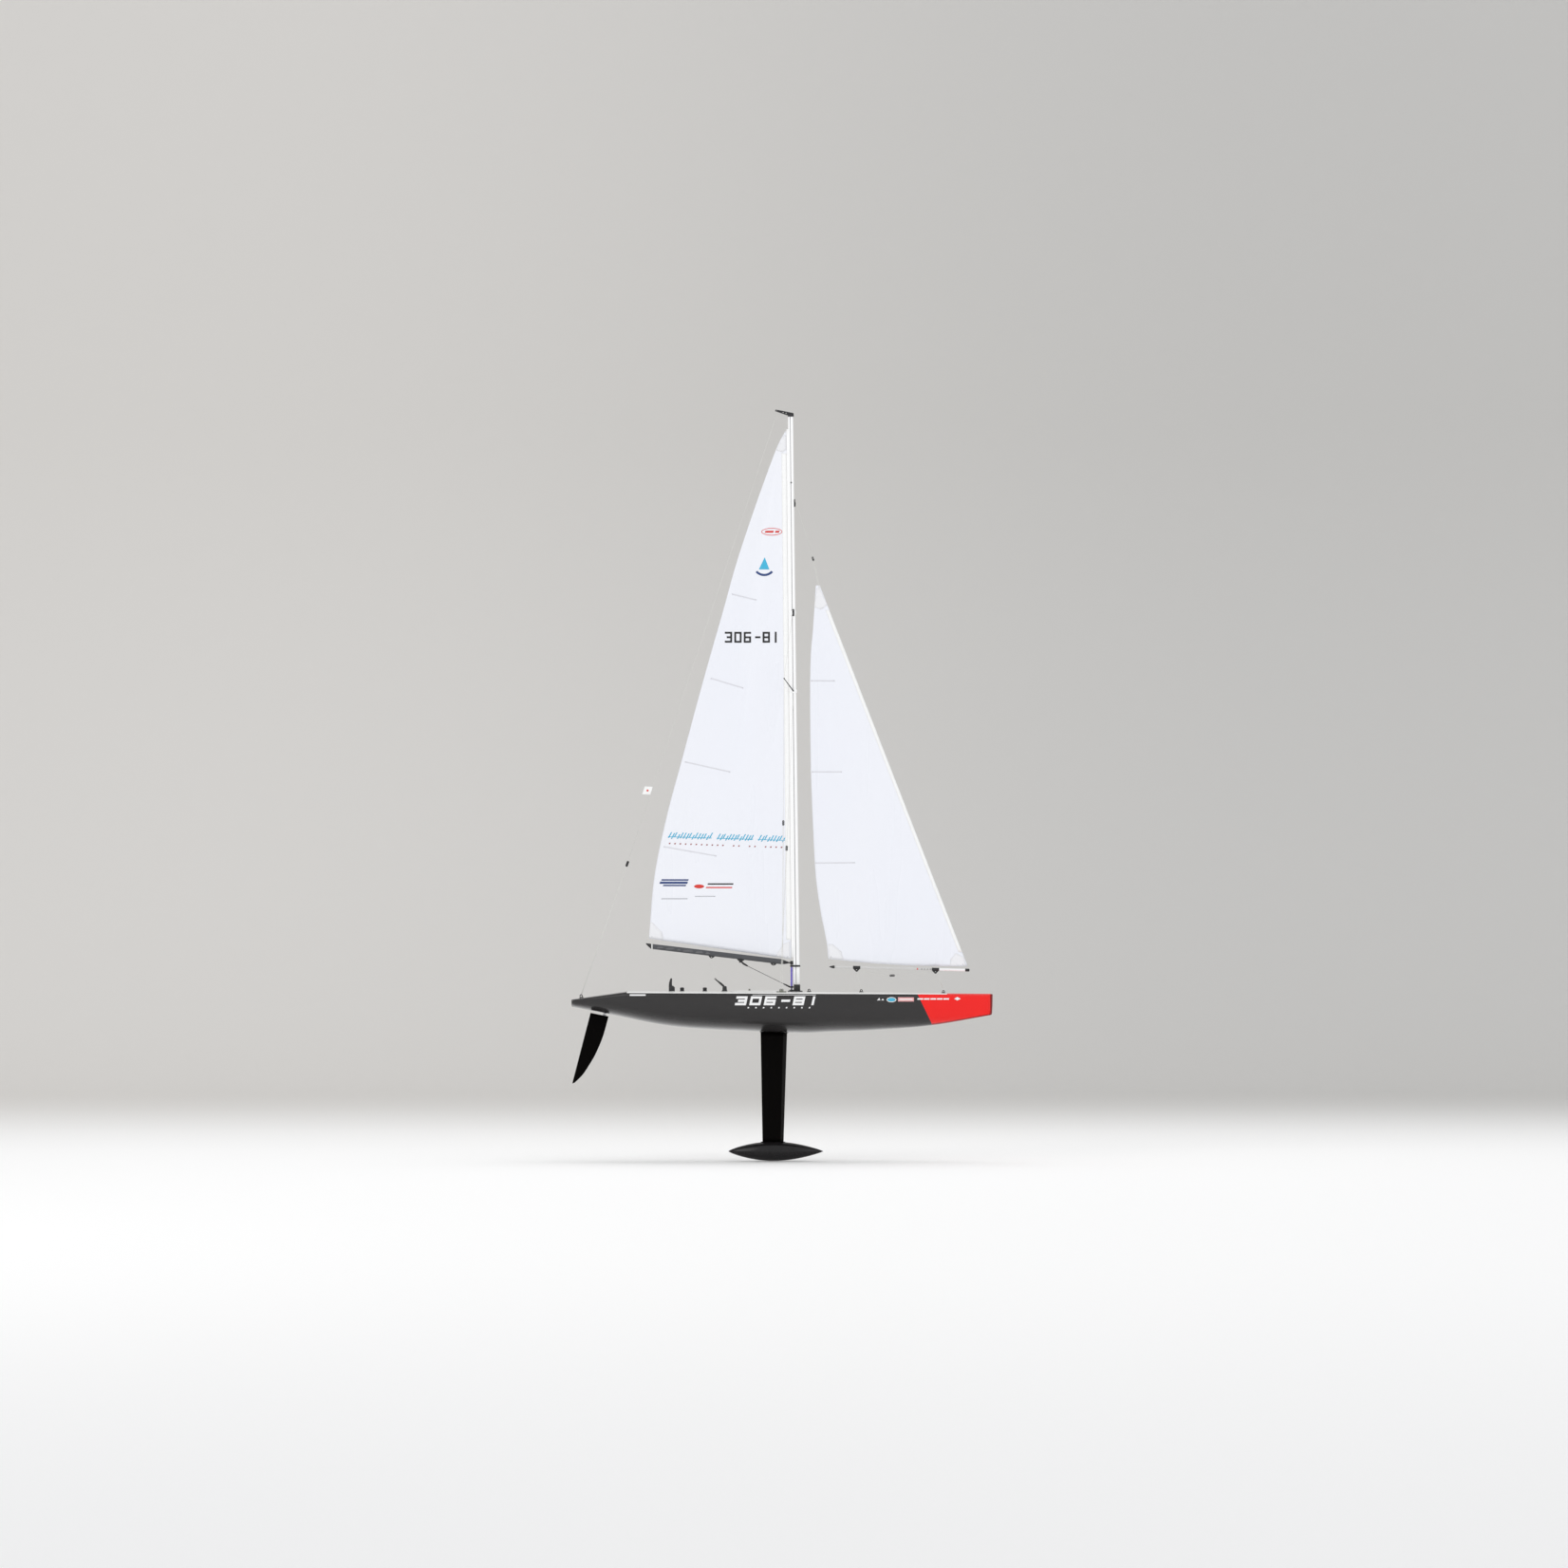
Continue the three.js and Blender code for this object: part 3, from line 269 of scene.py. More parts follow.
FINISHES = {
    "hull_graphite": finish("hull_graphite_paint", (0.026, 0.0245, 0.0245), 0.2, coat=0.12, vary=0.06,
                            cloud=9, grain=0.03, rough_spread=0.04, shine=0.28),
    "hull_red": finish("hull_red_paint", (0.88, 0.010, 0.008), 0.2, coat=0.1, vary=0.04, cloud=12,
                       grain=0.03, shine=0.25),
    "hull_red_painted_shade": finish("red_bow_painted_shade_band", (0.30, 0.006, 0.005), 0.24, vary=0.05, cloud=12,
                             grain=0.03, shine=0.2),
    "deck_white": finish("deck_white_gelcoat", (0.86, 0.86, 0.84), 0.34, coat=0.2, vary=0.02, cloud=16,
                         grain=0.06),
    "bumper_rubber": finish("bumper_rubber_soft", (0.20, 0.012, 0.012), 0.72, vary=0.12, cloud=80,
                            grain=0.25),
    "foil_black": finish("foil_black_polish", (0.0024, 0.0020, 0.0018), 0.2, vary=0.2, cloud=14, grain=0.03,
                         shine=0.02),
    "foil_edge": finish("foil_edge_strip", (0.012, 0.011, 0.0105), 0.34, vary=0.1, cloud=30, grain=0.08,
                        shine=0.04),
    "ballast_cast": finish("ballast_cast_paint", (0.009, 0.008, 0.0085), 0.2, vary=0.25, cloud=55, grain=0.3,
                           grain_scale=900, rough_spread=0.06, shine=0.3),
    "black_nylon": finish("black_nylon_moulding", (0.013, 0.013, 0.014), 0.46, vary=0.15, cloud=120,
                          grain=0.25, grain_scale=3200),
    "white_moulding": finish("white_moulding_satin", (0.78, 0.78, 0.76), 0.42, vary=0.03, cloud=60,
                             grain=0.12),
    "stainless": finish("stainless_drawn", (0.58, 0.58, 0.60), 0.26, metallic=1.0, vary=0.06, cloud=90,
                        grain=0.2, grain_scale=700, stretch=(0.05, 1, 1)),
    "mast_alloy": finish("mast_alloy_satin", (0.97, 0.97, 0.965), 0.36, vary=0.01, cloud=25,
                         grain=0.16, grain_scale=900, stretch=(1, 1, 0.02)),
    "mast_groove": finish("mast_groove_shadow", (0.36, 0.35, 0.36), 0.5, vary=0.05),
    "jib_boom_alloy": finish("jib_boom_alloy_satin", (0.62, 0.615, 0.60), 0.34, metallic=0.35, vary=0.03,
                             cloud=25, grain=0.16, grain_scale=900, stretch=(0.02, 1, 1)),
    "boom_grey": finish("boom_grey_anodised", (0.098, 0.100, 0.106), 0.36, metallic=0.75, vary=0.08, cloud=30,
                        grain=0.2, grain_scale=900, stretch=(0.02, 1, 1)),
    "violet_anodised": finish("violet_anodised_rod", (0.17, 0.13, 0.55), 0.28, metallic=0.85, vary=0.08,
                              cloud=90, grain=0.12, stretch=(1, 1, 0.05)),
    "rigging_cord": braid("rigging_cord_braid", (0.86, 0.85, 0.81)),
    "sail_film": sail_film("sail_film_white", (0.88, 0.885, 0.92), (0.83, 0.85, 0.92)),
    "sail_cloth_band": finish("sail_cloth_band_white", (0.93, 0.93, 0.92), 0.5, vary=0.02, cloud=40,
                              grain=0.3, grain_scale=1500, sheen=0.2),
    "sail_patch": finish("sail_patch_cloth", (0.84, 0.84, 0.86), 0.42, vary=0.02, cloud=30, grain=0.25,
                         grain_scale=1500),
    "batten_film": finish("batten_film_grey", (0.70, 0.70, 0.74), 0.32, vary=0.03, cloud=40, grain=0.1),
    "chainplate_grey": finish("chainplate_grey_moulding", (0.17, 0.175, 0.14), 0.45, vary=0.12, cloud=140),
    "flag_cloth": finish("flag_cloth_white", (0.90, 0.90, 0.89), 0.7, vary=0.03, cloud=80, grain=0.5,
                         grain_scale=1800, sheen=0.3),
    "tray_ply": plywood("tray_plywood"),
    "blue_case": finish("blue_case_moulding", (0.025, 0.085, 0.34), 0.4, vary=0.06, cloud=60, grain=0.15),
    "boom_mark": finish("boom_mark_grey", (0.20, 0.20, 0.21), 0.4, vary=0.05, cloud=60, grain=0.05),
}
INKS = {
    "white": ((0.90, 0.90, 0.90), 0.36, 0.02, 0.04),
    "black": ((0.010, 0.010, 0.011), 0.42, 0.10, 0.05),
    "red": ((0.72, 0.035, 0.022), 0.40, 0.05, 0.05),
    "maroon": ((0.36, 0.075, 0.06), 0.40, 0.05, 0.05),
    "cyan": ((0.045, 0.46, 0.70), 0.40, 0.05, 0.05),
    "navy": ((0.020, 0.055, 0.20), 0.40, 0.06, 0.05),
    "grey": ((0.50, 0.51, 0.54), 0.40, 0.05, 0.05),
    "pink": ((0.80, 0.40, 0.40), 0.40, 0.05, 0.05),
}
for ink, (colour, roughness, vary, grain) in INKS.items():
    FINISHES[f"ink_{ink}"] = finish(f"ink_{ink}_vinyl", colour, roughness, vary=vary, cloud=60, grain=grain)


# ---------------------------------------------------------------- mesh helpers

def shaded_piece(name, mesh, look):
    """The mesh as an object: scaled to metres, shaded smooth and with its look."""
    mesh.transform(Matrix.Scale(MM, 4))
    mesh.name = name
    if not mesh.materials:
        mesh.materials.append(FINISHES[look])
    for polygon in mesh.polygons:
        polygon.use_smooth = True
    return add_object(name, mesh)


def settle(name, mesh, body, look, replaces=()):
    """Makes the piece, which rides on its body and stands for its CAD nodes."""
    piece = shaded_piece(name, mesh, look)
    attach(piece, body)
    if replaces:
        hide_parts(*replaces)
    return piece


def cleaned(mesh, distance):
    """The mesh with points closer than a distance joined and its faces turned outward."""
    bm = bmesh.new()
    bm.from_mesh(mesh)
    bmesh.ops.remove_doubles(bm, verts=bm.verts, dist=distance)
    bmesh.ops.recalc_face_normals(bm, faces=bm.faces)
    bm.to_mesh(mesh)
    bm.free()
    return mesh


def mesh_of(verts, faces):
    mesh = bpy.data.meshes.new("shape")
    mesh.from_pydata([tuple(v) for v in verts], [], faces)
    return cleaned(mesh, 1e-5)


def skin(rings, cap=True):
    """Quads over closed rings of equally many points."""
    count = len(rings[0])
    verts = [p for ring in rings for p in ring]
    faces = []
    for r in range(len(rings) - 1):
        for k in range(count):
            a, b = r * count + k, r * count + (k + 1) % count
            faces.append((a, b, b + count, a + count))
    if cap:
        end = (len(rings) - 1) * count
        for base in (0, end):
            for k in range(count // 2):
                quad = [k, k + 1, count - 2 - k, count - 1 - k]
                unique = list(dict.fromkeys(quad))
                if len(unique) > 2:
                    faces.append(tuple(base + i for i in unique))
    return mesh_of(verts, faces)


def turned(profile, at=(0, 0, 0), axis=(0, 0, 1), sides=40, ease=None):
    """A body of revolution: (radius, height) points from one end of the axis to the other."""
    rings = []
    for radius, height in round_corners(profile, ease) if ease else profile:
        reach = max(radius, 1e-3)
        rings.append([Vector((reach * math.cos(a), reach * math.sin(a), height)) for a in angles(sides)])
    return lying(skin(rings), at, axis)


def round_corners(profile, radius):
    """The profile with each inner corner rounded off."""
    steps = 3
    out = [profile[0]]
    for before, corner, after in zip(profile, profile[1:], profile[2:]):
        p, c, n = Vector(before), Vector(corner), Vector(after)
        cut = min(radius, (p - c).length * 0.45, (n - c).length * 0.45)
        a, b = c + (p - c).normalized() * cut, c + (n - c).normalized() * cut
        for k in range(steps + 1):
            t = k / steps
            out.append(tuple((1 - t) ** 2 * a + 2 * t * (1 - t) * c + t * t * b))
    out.append(profile[-1])
    return out


def path_frames(points):
    """A steady sideways pair of directions at each point of a path."""
    points = [Vector(p) for p in points]
    frames = []
    side = None
    for i, point in enumerate(points):
        along = (points[min(i + 1, len(points) - 1)] - points[max(i - 1, 0)]).normalized()
        if side is None:
            side = Vector((0, 1, 0)) if abs(along.y) < 0.9 else Vector((1, 0, 0))
        side = (side - along * side.dot(along)).normalized()
        frames.append((point, side, along.cross(side)))
    return frames


def tube(points, radii, sides=16):
    """A round tube along points, with one radius or a radius for each point."""
    radii = [radii] * len(points) if isinstance(radii, (int, float)) else radii
    return skin([[point + u * (radius * math.cos(a)) + v * (radius * math.sin(a)) for a in angles(sides)]
                 for (point, u, v), radius in zip(path_frames(points), radii)])


def oval(cx, cy, rx, ry, count=28):
    return [(cx + rx * math.cos(a), cy + ry * math.sin(a)) for a in angles(count)]


def circle(cx, cy, radius, count=28):
    return oval(cx, cy, radius, radius, count)


def arc(cx, cy, radius, start, stop, count=8):
    """Points of an arc from one angle to another, in degrees."""
    turns = [math.radians(mix(start, stop, k / count)) for k in range(count + 1)]
    return [(cx + radius * math.cos(a), cy + radius * math.sin(a)) for a in turns]


def rounded_rect(x0, x1, y0, y1, radius, count=6):
    corners = ((x1 - radius, y1 - radius), (x0 + radius, y1 - radius),
               (x0 + radius, y0 + radius), (x1 - radius, y0 + radius))
    points = []
    for quarter, (cx, cy) in enumerate(corners):
        points += arc(cx, cy, radius, 90 * quarter, 90 * quarter + 90, count)
    return points


def cut_plate(loops, thickness, bevel=0.2):
    """A flat plate in XY with eased edges: the first loop is its outline, the others are holes."""
    data = bpy.data.curves.new("plate", "CURVE")
    data.dimensions = "2D"
    data.fill_mode = "BOTH"
    data.extrude = max(thickness / 2 - bevel, 0.01)
    data.bevel_depth = bevel
    data.bevel_resolution = 2
    data.offset = -bevel
    for loop in loops:
        spline = data.splines.new("POLY")
        spline.points.add(len(loop) - 1)
        for point, (x, y) in zip(spline.points, loop):
            point.co = (x, y, 0, 1)
        spline.use_cyclic_u = True
    maker = add_object("plate", data)
    mesh = bpy.data.meshes.new_from_object(maker.evaluated_get(bpy.context.evaluated_depsgraph_get()))
    bpy.data.objects.remove(maker)
    bpy.data.curves.remove(data)
    mesh.materials.clear()
    return cleaned(mesh, 1e-4)


def standing(mesh, at=(0, 0, 0)):
    """Turns a plate made in XY so that it stands on the centreline, its Y pointing up."""
    mesh.transform(Matrix.Translation(Vector(at)) @ Matrix.Rotation(math.pi / 2, 4, "X"))
    return mesh


def lying(mesh, at=(0, 0, 0), axis=(0, 0, 1)):
    turn = Vector((0, 0, 1)).rotation_difference(Vector(axis)).to_matrix().to_4x4()
    mesh.transform(Matrix.Translation(Vector(at)) @ turn)
    return mesh


def rounded_box(size, at, radius=1.0, turn=None):
    bm = bmesh.new()
    bmesh.ops.create_cube(bm, size=1.0)
    bmesh.ops.scale(bm, vec=size, verts=bm.verts)
    bmesh.ops.bevel(bm, geom=bm.edges[:], offset=radius, segments=3, profile=0.5, affect="EDGES")
    mesh = bpy.data.meshes.new("shape")
    bm.to_mesh(mesh)
    bm.free()
    mesh.transform(Matrix.Translation(Vector(at)) @ (turn or Matrix.Identity(4)))
    return mesh


def merged(*meshes):
    """All the meshes in one, with the first one's materials."""
    bm = bmesh.new()
    materials = list(meshes[0].materials)
    for mesh in meshes:
        bm.from_mesh(mesh)
        bpy.data.meshes.remove(mesh)
    whole = bpy.data.meshes.new("shape")
    bm.to_mesh(whole)
    bm.free()
    for material in materials:
        whole.materials.append(material)
    return whole


def carved(mesh, cutter):
    """The mesh with another mesh's space cut out of it."""
    blank, tool = add_object("carve", mesh), add_object("carve", cutter)
    modifier = blank.modifiers.new("cut", "BOOLEAN")
    modifier.operation = "DIFFERENCE"
    modifier.solver = "EXACT"
    modifier.object = tool
    result = bpy.data.meshes.new_from_object(blank.evaluated_get(bpy.context.evaluated_depsgraph_get()))
    for thing in (blank, tool):
        bpy.data.objects.remove(thing)
    return result


# ---------------------------------------------------------------- camera, floor and lights

CAMERA_DISTANCE = 12.0
FRAME_SPAN = 3.727                  # metres across the picture at the boat
FRAME_CENTRE = (0.024, 0.588)       # X and Z of the picture's middle
EYE_HEIGHT = 0.098                  # just above the deck


def build_stage():
    floor_z = CAD_BOX[0].z - 0.0015
    near_y, wall_y, bend, reach, top = -16.0, 11.0, 3.0, 24.0, 14.0
    profile = [(near_y, floor_z), (wall_y - bend, floor_z)]
    profile += [(wall_y - bend + bend * math.sin(a), floor_z + bend - bend * math.cos(a))
                for a in (math.pi / 2 * k / 24 for k in range(1, 25))]
    profile.append((wall_y, floor_z + top))
    verts = [(x, y, z) for y, z in profile for x in (-reach, reach)]
    faces = [(2 * i, 2 * i + 1, 2 * i + 3, 2 * i + 2) for i in range(len(profile) - 1)]
    mesh = bpy.data.meshes.new("studio_floor")
    mesh.from_pydata(verts, [], faces)
    floor = add_object("studio_floor", mesh)
    mat, tree, bsdf = node_setup("studio_paper_painted_falloff")
    bsdf.inputs["Roughness"].default_value = 0.95
    bsdf.inputs["Specular IOR Level"].default_value = 0.2
    where = object_space(tree)
    place = tree.nodes.new("ShaderNodeSeparateXYZ")
    tree.links.new(where, place.inputs[0])
    away = remap(tree, place.outputs["Y"], (-0.5, 8.0), curve="SMOOTHERSTEP")
    # the wall darkens towards +X: painted shade of the light falling off across it
    across = remap(tree, place.outputs["X"], (-3.4, 3.4), curve="SMOOTHERSTEP")
    wall = two_tones(tree, across, (0.76, 0.74, 0.71), (0.64, 0.63, 0.61))
    paper = two_tones(tree, away, (0.95, 0.945, 0.935), (1, 1, 1))
    tree.links.new(wall, paper.node.inputs["B"])
    tree.links.new(paper, bsdf.inputs["Base Color"])
    mesh.materials.append(mat)
    for polygon in mesh.polygons:
        polygon.use_smooth = True


def area_light(name, place, aim, size, power, colour=(1, 1, 1)):
    data = bpy.data.lights.new(name, "AREA")
    data.shape = "RECTANGLE"
    data.size, data.size_y = size
    data.energy = power
    data.color = colour
    lamp = add_object(name, data)
    lamp.location = place
    lamp.rotation_euler = (Vector(aim) - Vector(place)).to_track_quat("-Z", "Y").to_euler()


def build_lights():
    aim = (0.0, 0.0, 0.5)
    area_light("key_softbox", (-3.6, -5.4, 3.6), aim, (2.6, 3.4), 55, (1.0, 0.99, 0.965))
    area_light("fill_softbox", (4.6, -6.0, 2.0), aim, (2.2, 3.4), 20, (0.93, 0.965, 1.0))
    area_light("top_softbox", (0.2, 0.6, 4.6), (0, 0.1, 0), (4.0, 2.2), 40)
    world = bpy.data.worlds.new("studio_world")
    bpy.context.scene.world = world
    world.use_nodes = True
    world.node_tree.nodes["Background"].inputs["Color"].default_value = (0.97, 0.98, 1.0, 1)
    world.node_tree.nodes["Background"].inputs["Strength"].default_value = 0.92
    bpy.context.scene.view_settings.view_transform = "Standard"


def build_camera():
    data = bpy.data.cameras.new("camera")
    data.sensor_width = 36.0
    data.lens = data.sensor_width * CAMERA_DISTANCE / FRAME_SPAN
    data.clip_end = 60.0
    camera = add_object("camera", data)
    camera.location = (FRAME_CENTRE[0], -CAMERA_DISTANCE, EYE_HEIGHT)
    aim = Vector((FRAME_CENTRE[0], 0.0, FRAME_CENTRE[1]))
    camera.rotation_euler = (aim - camera.location).to_track_quat("-Z", "Y").to_euler()
    bpy.context.scene.camera = camera


# ---------------------------------------------------------------- hull lines, the same as the CAD's

TRANSOM_X = -478.5
STEM_X = 514.0
BOW_X = 519.5
KNUCKLE_X = -348.0
SHEER = {"transom": 74.9, "knuckle": 92.7, "bow": 89.1}
HALF_BEAM = [(-478.5, 56), (-400, 80), (-300, 98), (-180, 111), (-40, 117), (100, 110), (236, 86), (360, 51),
             (450, 24), (500, 9), (520, 4)]
BOTTOM = [(-478.5, 58.4), (-392, 41.7), (-276, 18.3), (-198, 8.6), (-80, 2.3), (74, -2.9), (145, 0.2),
          (236, 3.6), (375, 14.7), (514, 38.8)]
FULLNESS = [(TRANSOM_X, 2.5), (0, 2.5), (250, 2.4), (STEM_X, 2.3)]
HULL_WALL = 2.0
DECK_THICKNESS = 1.5
DECK_CROWN = 3.0
RED_EDGE = {"top": (342.0, 83.5), "foot": (375.0, 17.0)}     # where the red bow starts
RED_DECK_X = 410.0


def half_beam(x):
    return curve_at(HALF_BEAM, x)


def sheer(x):
    if x < KNUCKLE_X:
        return mix(SHEER["transom"], SHEER["knuckle"], (x - TRANSOM_X) / (KNUCKLE_X - TRANSOM_X))
    return mix(SHEER["knuckle"], SHEER["bow"], (x - KNUCKLE_X) / (BOW_X - KNUCKLE_X))


def deck_top(x, y=0.0):
    crown = DECK_CROWN * half_beam(x) / half_beam(0)
    return sheer(x) + crown * (1 - (y / half_beam(x)) ** 2)


def rim_z(x):
    return sheer(x) - DECK_THICKNESS - GAP


def hull_ring(x, inset=0.0):
    """One section, from the port rim round the bottom to the starboard rim."""
    steps = 26
    power = 2 / curve_at(FULLNESS, x)
    width = half_beam(x) - inset
    depth = rim_z(x) - curve_at(BOTTOM, x) - inset
    ring = []
    for k in range(-steps, steps + 1):
        angle = math.pi / 2 * (1 - abs(k) / steps)
        y = -math.copysign(1, k) * width * max(math.cos(angle), 0) ** power if k else 0.0
        z = rim_z(x) if abs(k) == steps else rim_z(x) - depth * math.sin(angle) ** power
        ring.append(Vector((x, y, z)))
    return ring


def hull_side(x, z):
    """How far the hull's side stands from the centreline at x and z."""
    full = curve_at(FULLNESS, x)
    down = clamp((rim_z(x) - z) / (rim_z(x) - curve_at(BOTTOM, x)), 0.0, 0.9999)
    return half_beam(x) * (1 - down ** full) ** (1 / full)


def stations(first, last, count):
    return [mix(first, last, k / count) for k in range(count + 1)]


def paint_forward(mesh, point, normal, material):
    """Cuts the mesh at a plane and gives the faces beyond it the material."""
    mesh.materials.append(material)
    bm = bmesh.new()
    bm.from_mesh(mesh)
    bmesh.ops.bisect_plane(bm, geom=bm.verts[:] + bm.edges[:] + bm.faces[:], plane_co=point, plane_no=normal)
    for face in bm.faces:
        if (face.calc_center_median() - Vector(point)).dot(Vector(normal)) > 0:
            face.material_index = len(mesh.materials) - 1
    bm.to_mesh(mesh)
    bm.free()


def hull_shell():
    """The moulding as one closed shell: an outer and an inner skin joined by the rims and the transom."""
    xs = stations(TRANSOM_X, KNUCKLE_X, 14) + stations(KNUCKLE_X, STEM_X, 96)[1:]
    outer = [hull_ring(x) for x in xs]
    inner_xs = [TRANSOM_X + HULL_WALL] + [x for x in xs if TRANSOM_X + HULL_WALL < x < STEM_X - 12]
    inner = [hull_ring(x, HULL_WALL) for x in inner_xs]
    count = len(outer[0])
    verts = [p for ring in outer + inner for p in ring]
    start = len(outer) * count
    faces = []
    for base, rings in ((0, outer), (start, inner)):
        for r in range(len(rings) - 1):
            for k in range(count - 1):
                a = base + r * count + k
                faces.append((a, a + 1, a + 1 + count, a + count))
    caps = [(0, start), ((len(outer) - 1) * count, start + (len(inner) - 1) * count)]
    faces += [tuple(range(first, first + count)) for pair in caps for first in pair]
    rim_out = [[r * count + k for r in range(len(outer))] for k in (0, count - 1)]
    rim_in = [[start + r * count + k for r in range(len(inner))] for k in (0, count - 1)]
    lead = xs.index(inner_xs[1])
    for out, within in zip(rim_out, rim_in):
        faces += [(out[i], out[i + 1], within[i - lead + 2], within[i - lead + 1])
                  for i in range(lead, lead + len(inner) - 2)]
        faces.append(tuple(out[: lead + 1] + [within[1], within[0]]))
    tail = lead + len(inner) - 2
    faces.append(tuple(rim_out[0][tail:] + rim_out[1][tail:][::-1] + [rim_in[1][-1], rim_in[0][-1]]))
    faces.append((rim_out[0][0], rim_in[0][0], rim_in[1][0], rim_out[1][0]))
    return mesh_of(verts, faces)


PAINTED_SHADE_DEPTH = 0.945                   # share of the depth below which the red bow is painted a darker red: painted shade under the hull


def build_hull():
    mesh = hull_shell()
    mesh.materials.append(FINISHES["hull_graphite"])
    (tx, tz), (fx, fz) = RED_EDGE["top"], RED_EDGE["foot"]
    paint_forward(mesh, (tx, 0, tz), Vector((tz - fz, 0, fx - tx)).normalized(), FINISHES["hull_red"])
    mesh.materials.append(FINISHES["hull_red_painted_shade"])
    # the lowest strip of the red bow takes the darker red, a painted shade under the hull
    for polygon in mesh.polygons:
        spot = polygon.center
        depth = rim_z(spot.x) - curve_at(BOTTOM, spot.x)
        if polygon.material_index == 1 and rim_z(spot.x) - spot.z > PAINTED_SHADE_DEPTH * depth:
            polygon.material_index = 2
    settle("hull_skin", mesh, "hull", "hull_graphite", ["hull_shell"])
    build_bow_strip()


BOW_STRIP = [(39.2, 1.4, 2.4), (40.5, 2.6, 3.4), (43, 3.6, 3.8), (60, 4.6, 4.0), (86, 5.1, 4.0),
             (88.2, 4.7, 3.8), (88.8, 4.0, 3.2)]        # height, depth and half width


def build_bow_strip():
    front = [math.pi * (k / 20 - 0.5) for k in range(21)]
    rings = [[Vector((STEM_X + GAP + depth * math.cos(a), half_width * math.sin(a), z)) for a in front]
             for z, depth, half_width in BOW_STRIP]
    settle("bow_edge_strip", skin(rings), "hull", "bumper_rubber", ["bow_bumper"])


HATCH = {"back": -98.0, "front": 16.0, "half_width": 44.0, "corner": 12.0, "lap": 6.0}
HATCH_RIM = rounded_rect(HATCH["back"], HATCH["front"], -HATCH["half_width"], HATCH["half_width"],
                         HATCH["corner"])


def build_deck():
    xs = stations(TRANSOM_X, KNUCKLE_X, 10) + stations(KNUCKLE_X, STEM_X, 80)[1:]
    across = 24
    rings = []
    for x in xs:
        breadths = [half_beam(x) * (1 - 2 * k / across) for k in range(across + 1)]
        top = [Vector((x, y, deck_top(x, y))) for y in breadths]
        under = [p - Vector((0, 0, DECK_THICKNESS)) for p in reversed(top)]
        rings.append(top + under)
    mesh = skin(rings)
    mesh = carved(mesh, lying(cut_plate([HATCH_RIM], 40.0, 0.01), (0, 0, SHEER["knuckle"] - 0.7)))
    mesh.materials.clear()
    mesh.materials.append(FINISHES["deck_white"])
    paint_forward(mesh, (RED_DECK_X, 0, 0), Vector((1, 0, 0)), FINISHES["hull_red"])
    paint_forward(mesh, (KNUCKLE_X + 1.5, 0, 0), Vector((-1, 0, 0)), FINISHES["hull_graphite"])
    piece = settle("deck_skin", mesh, "hull", "deck_white", ["deck"])
    bevel = piece.modifiers.new("edge", "BEVEL")
    bevel.width = 0.0004
    bevel.segments = 2
    bevel.limit_method = "ANGLE"
    bevel.angle_limit = math.radians(50)


def build_hatch():
    lap = HATCH["lap"]
    seat = low("hatch_cover").z
    half = HATCH["half_width"] + lap
    outline = rounded_rect(HATCH["back"] - lap, HATCH["front"] + lap, -half, half, HATCH["corner"] + lap, 10)
    cover = lying(cut_plate([outline], 1.5, 0.45), (0, 0, seat + 0.75))
    inner = rounded_rect(HATCH["back"] + 8, HATCH["front"] - 8, -half + 14, half - 14, 10, 8)
    panel = lying(cut_plate([inner], 0.5, 0.2), (0, 0, seat + 1.7))
    settle("hatch_lid", merged(cover, panel), "hatch", "deck_white", ["hatch_cover"])
    knob = middle("hatch_knob")
    profile = [(0, 0), (3.6, 0), (3.6, 0.8), (1.7, 1.3), (1.6, 2.6), (2.8, 3.4), (2.7, 4.4), (0, 4.8)]
    settle("hatch_pull", turned(profile, (knob.x, 0, low("hatch_knob").z), ease=0.4), "hatch",
           "chainplate_grey", ["hatch_knob"])


# ---------------------------------------------------------------- graphics laid on a surface

def lay_on(outlines, place, look, body, name, cell=6.0, thickness=0.12):
    """Thin shapes from outlines in X and Z, each point put on a surface by place(x, z, lift)."""
    bm = bmesh.new()
    for outline in outlines:
        bm.faces.new([bm.verts.new((x, 0, z)) for x, z in outline])
    bmesh.ops.remove_doubles(bm, verts=bm.verts, dist=1e-3)
    bmesh.ops.triangulate(bm, faces=bm.faces)
    for _ in range(5):
        long_edges = [e for e in bm.edges if e.calc_length() > cell]
        if not long_edges:
            break
        bmesh.ops.subdivide_edges(bm, edges=long_edges, cuts=1)
        bmesh.ops.triangulate(bm, faces=bm.faces)
    bm.verts.index_update()
    flat = [(v.co.x, v.co.z) for v in bm.verts]
    tris = [tuple(v.index for v in f.verts) for f in bm.faces]
    edges = [tuple(v.index for v in e.verts) for e in bm.edges if e.is_boundary]
    bm.free()
    count = len(flat)
    verts = [place(x, z, 0.0) for x, z in flat] + [place(x, z, thickness) for x, z in flat]
    faces = tris + [tuple(i + count for i in reversed(t)) for t in tris]
    faces += [(a, b, b + count, a + count) for a, b in edges]
    return settle(name, mesh_of(verts, faces), body, look)


def bar(x0, x1, z0, z1, lean=0.0):
    return [(x0, z0), (x1, z0), (x1 + lean, z1), (x0 + lean, z1)]


def ring_bands(cx, cz, rx, rz, width, count=32):
    """An oval outline as a chain of four-sided pieces."""
    def at(k, inset):
        a = 2 * math.pi * k / count
        return (cx + (rx - inset) * math.cos(a), cz + (rz - inset) * math.sin(a))

    return [[at(k, 0), at(k + 1, 0), at(k + 1, width), at(k, width)] for k in range(count)]


FIGURE_STROKES = {"0": "abcdefm", "1": "h", "3": "abcdg", "6": "acdefg", "8": "abcdefg", "-": "g"}


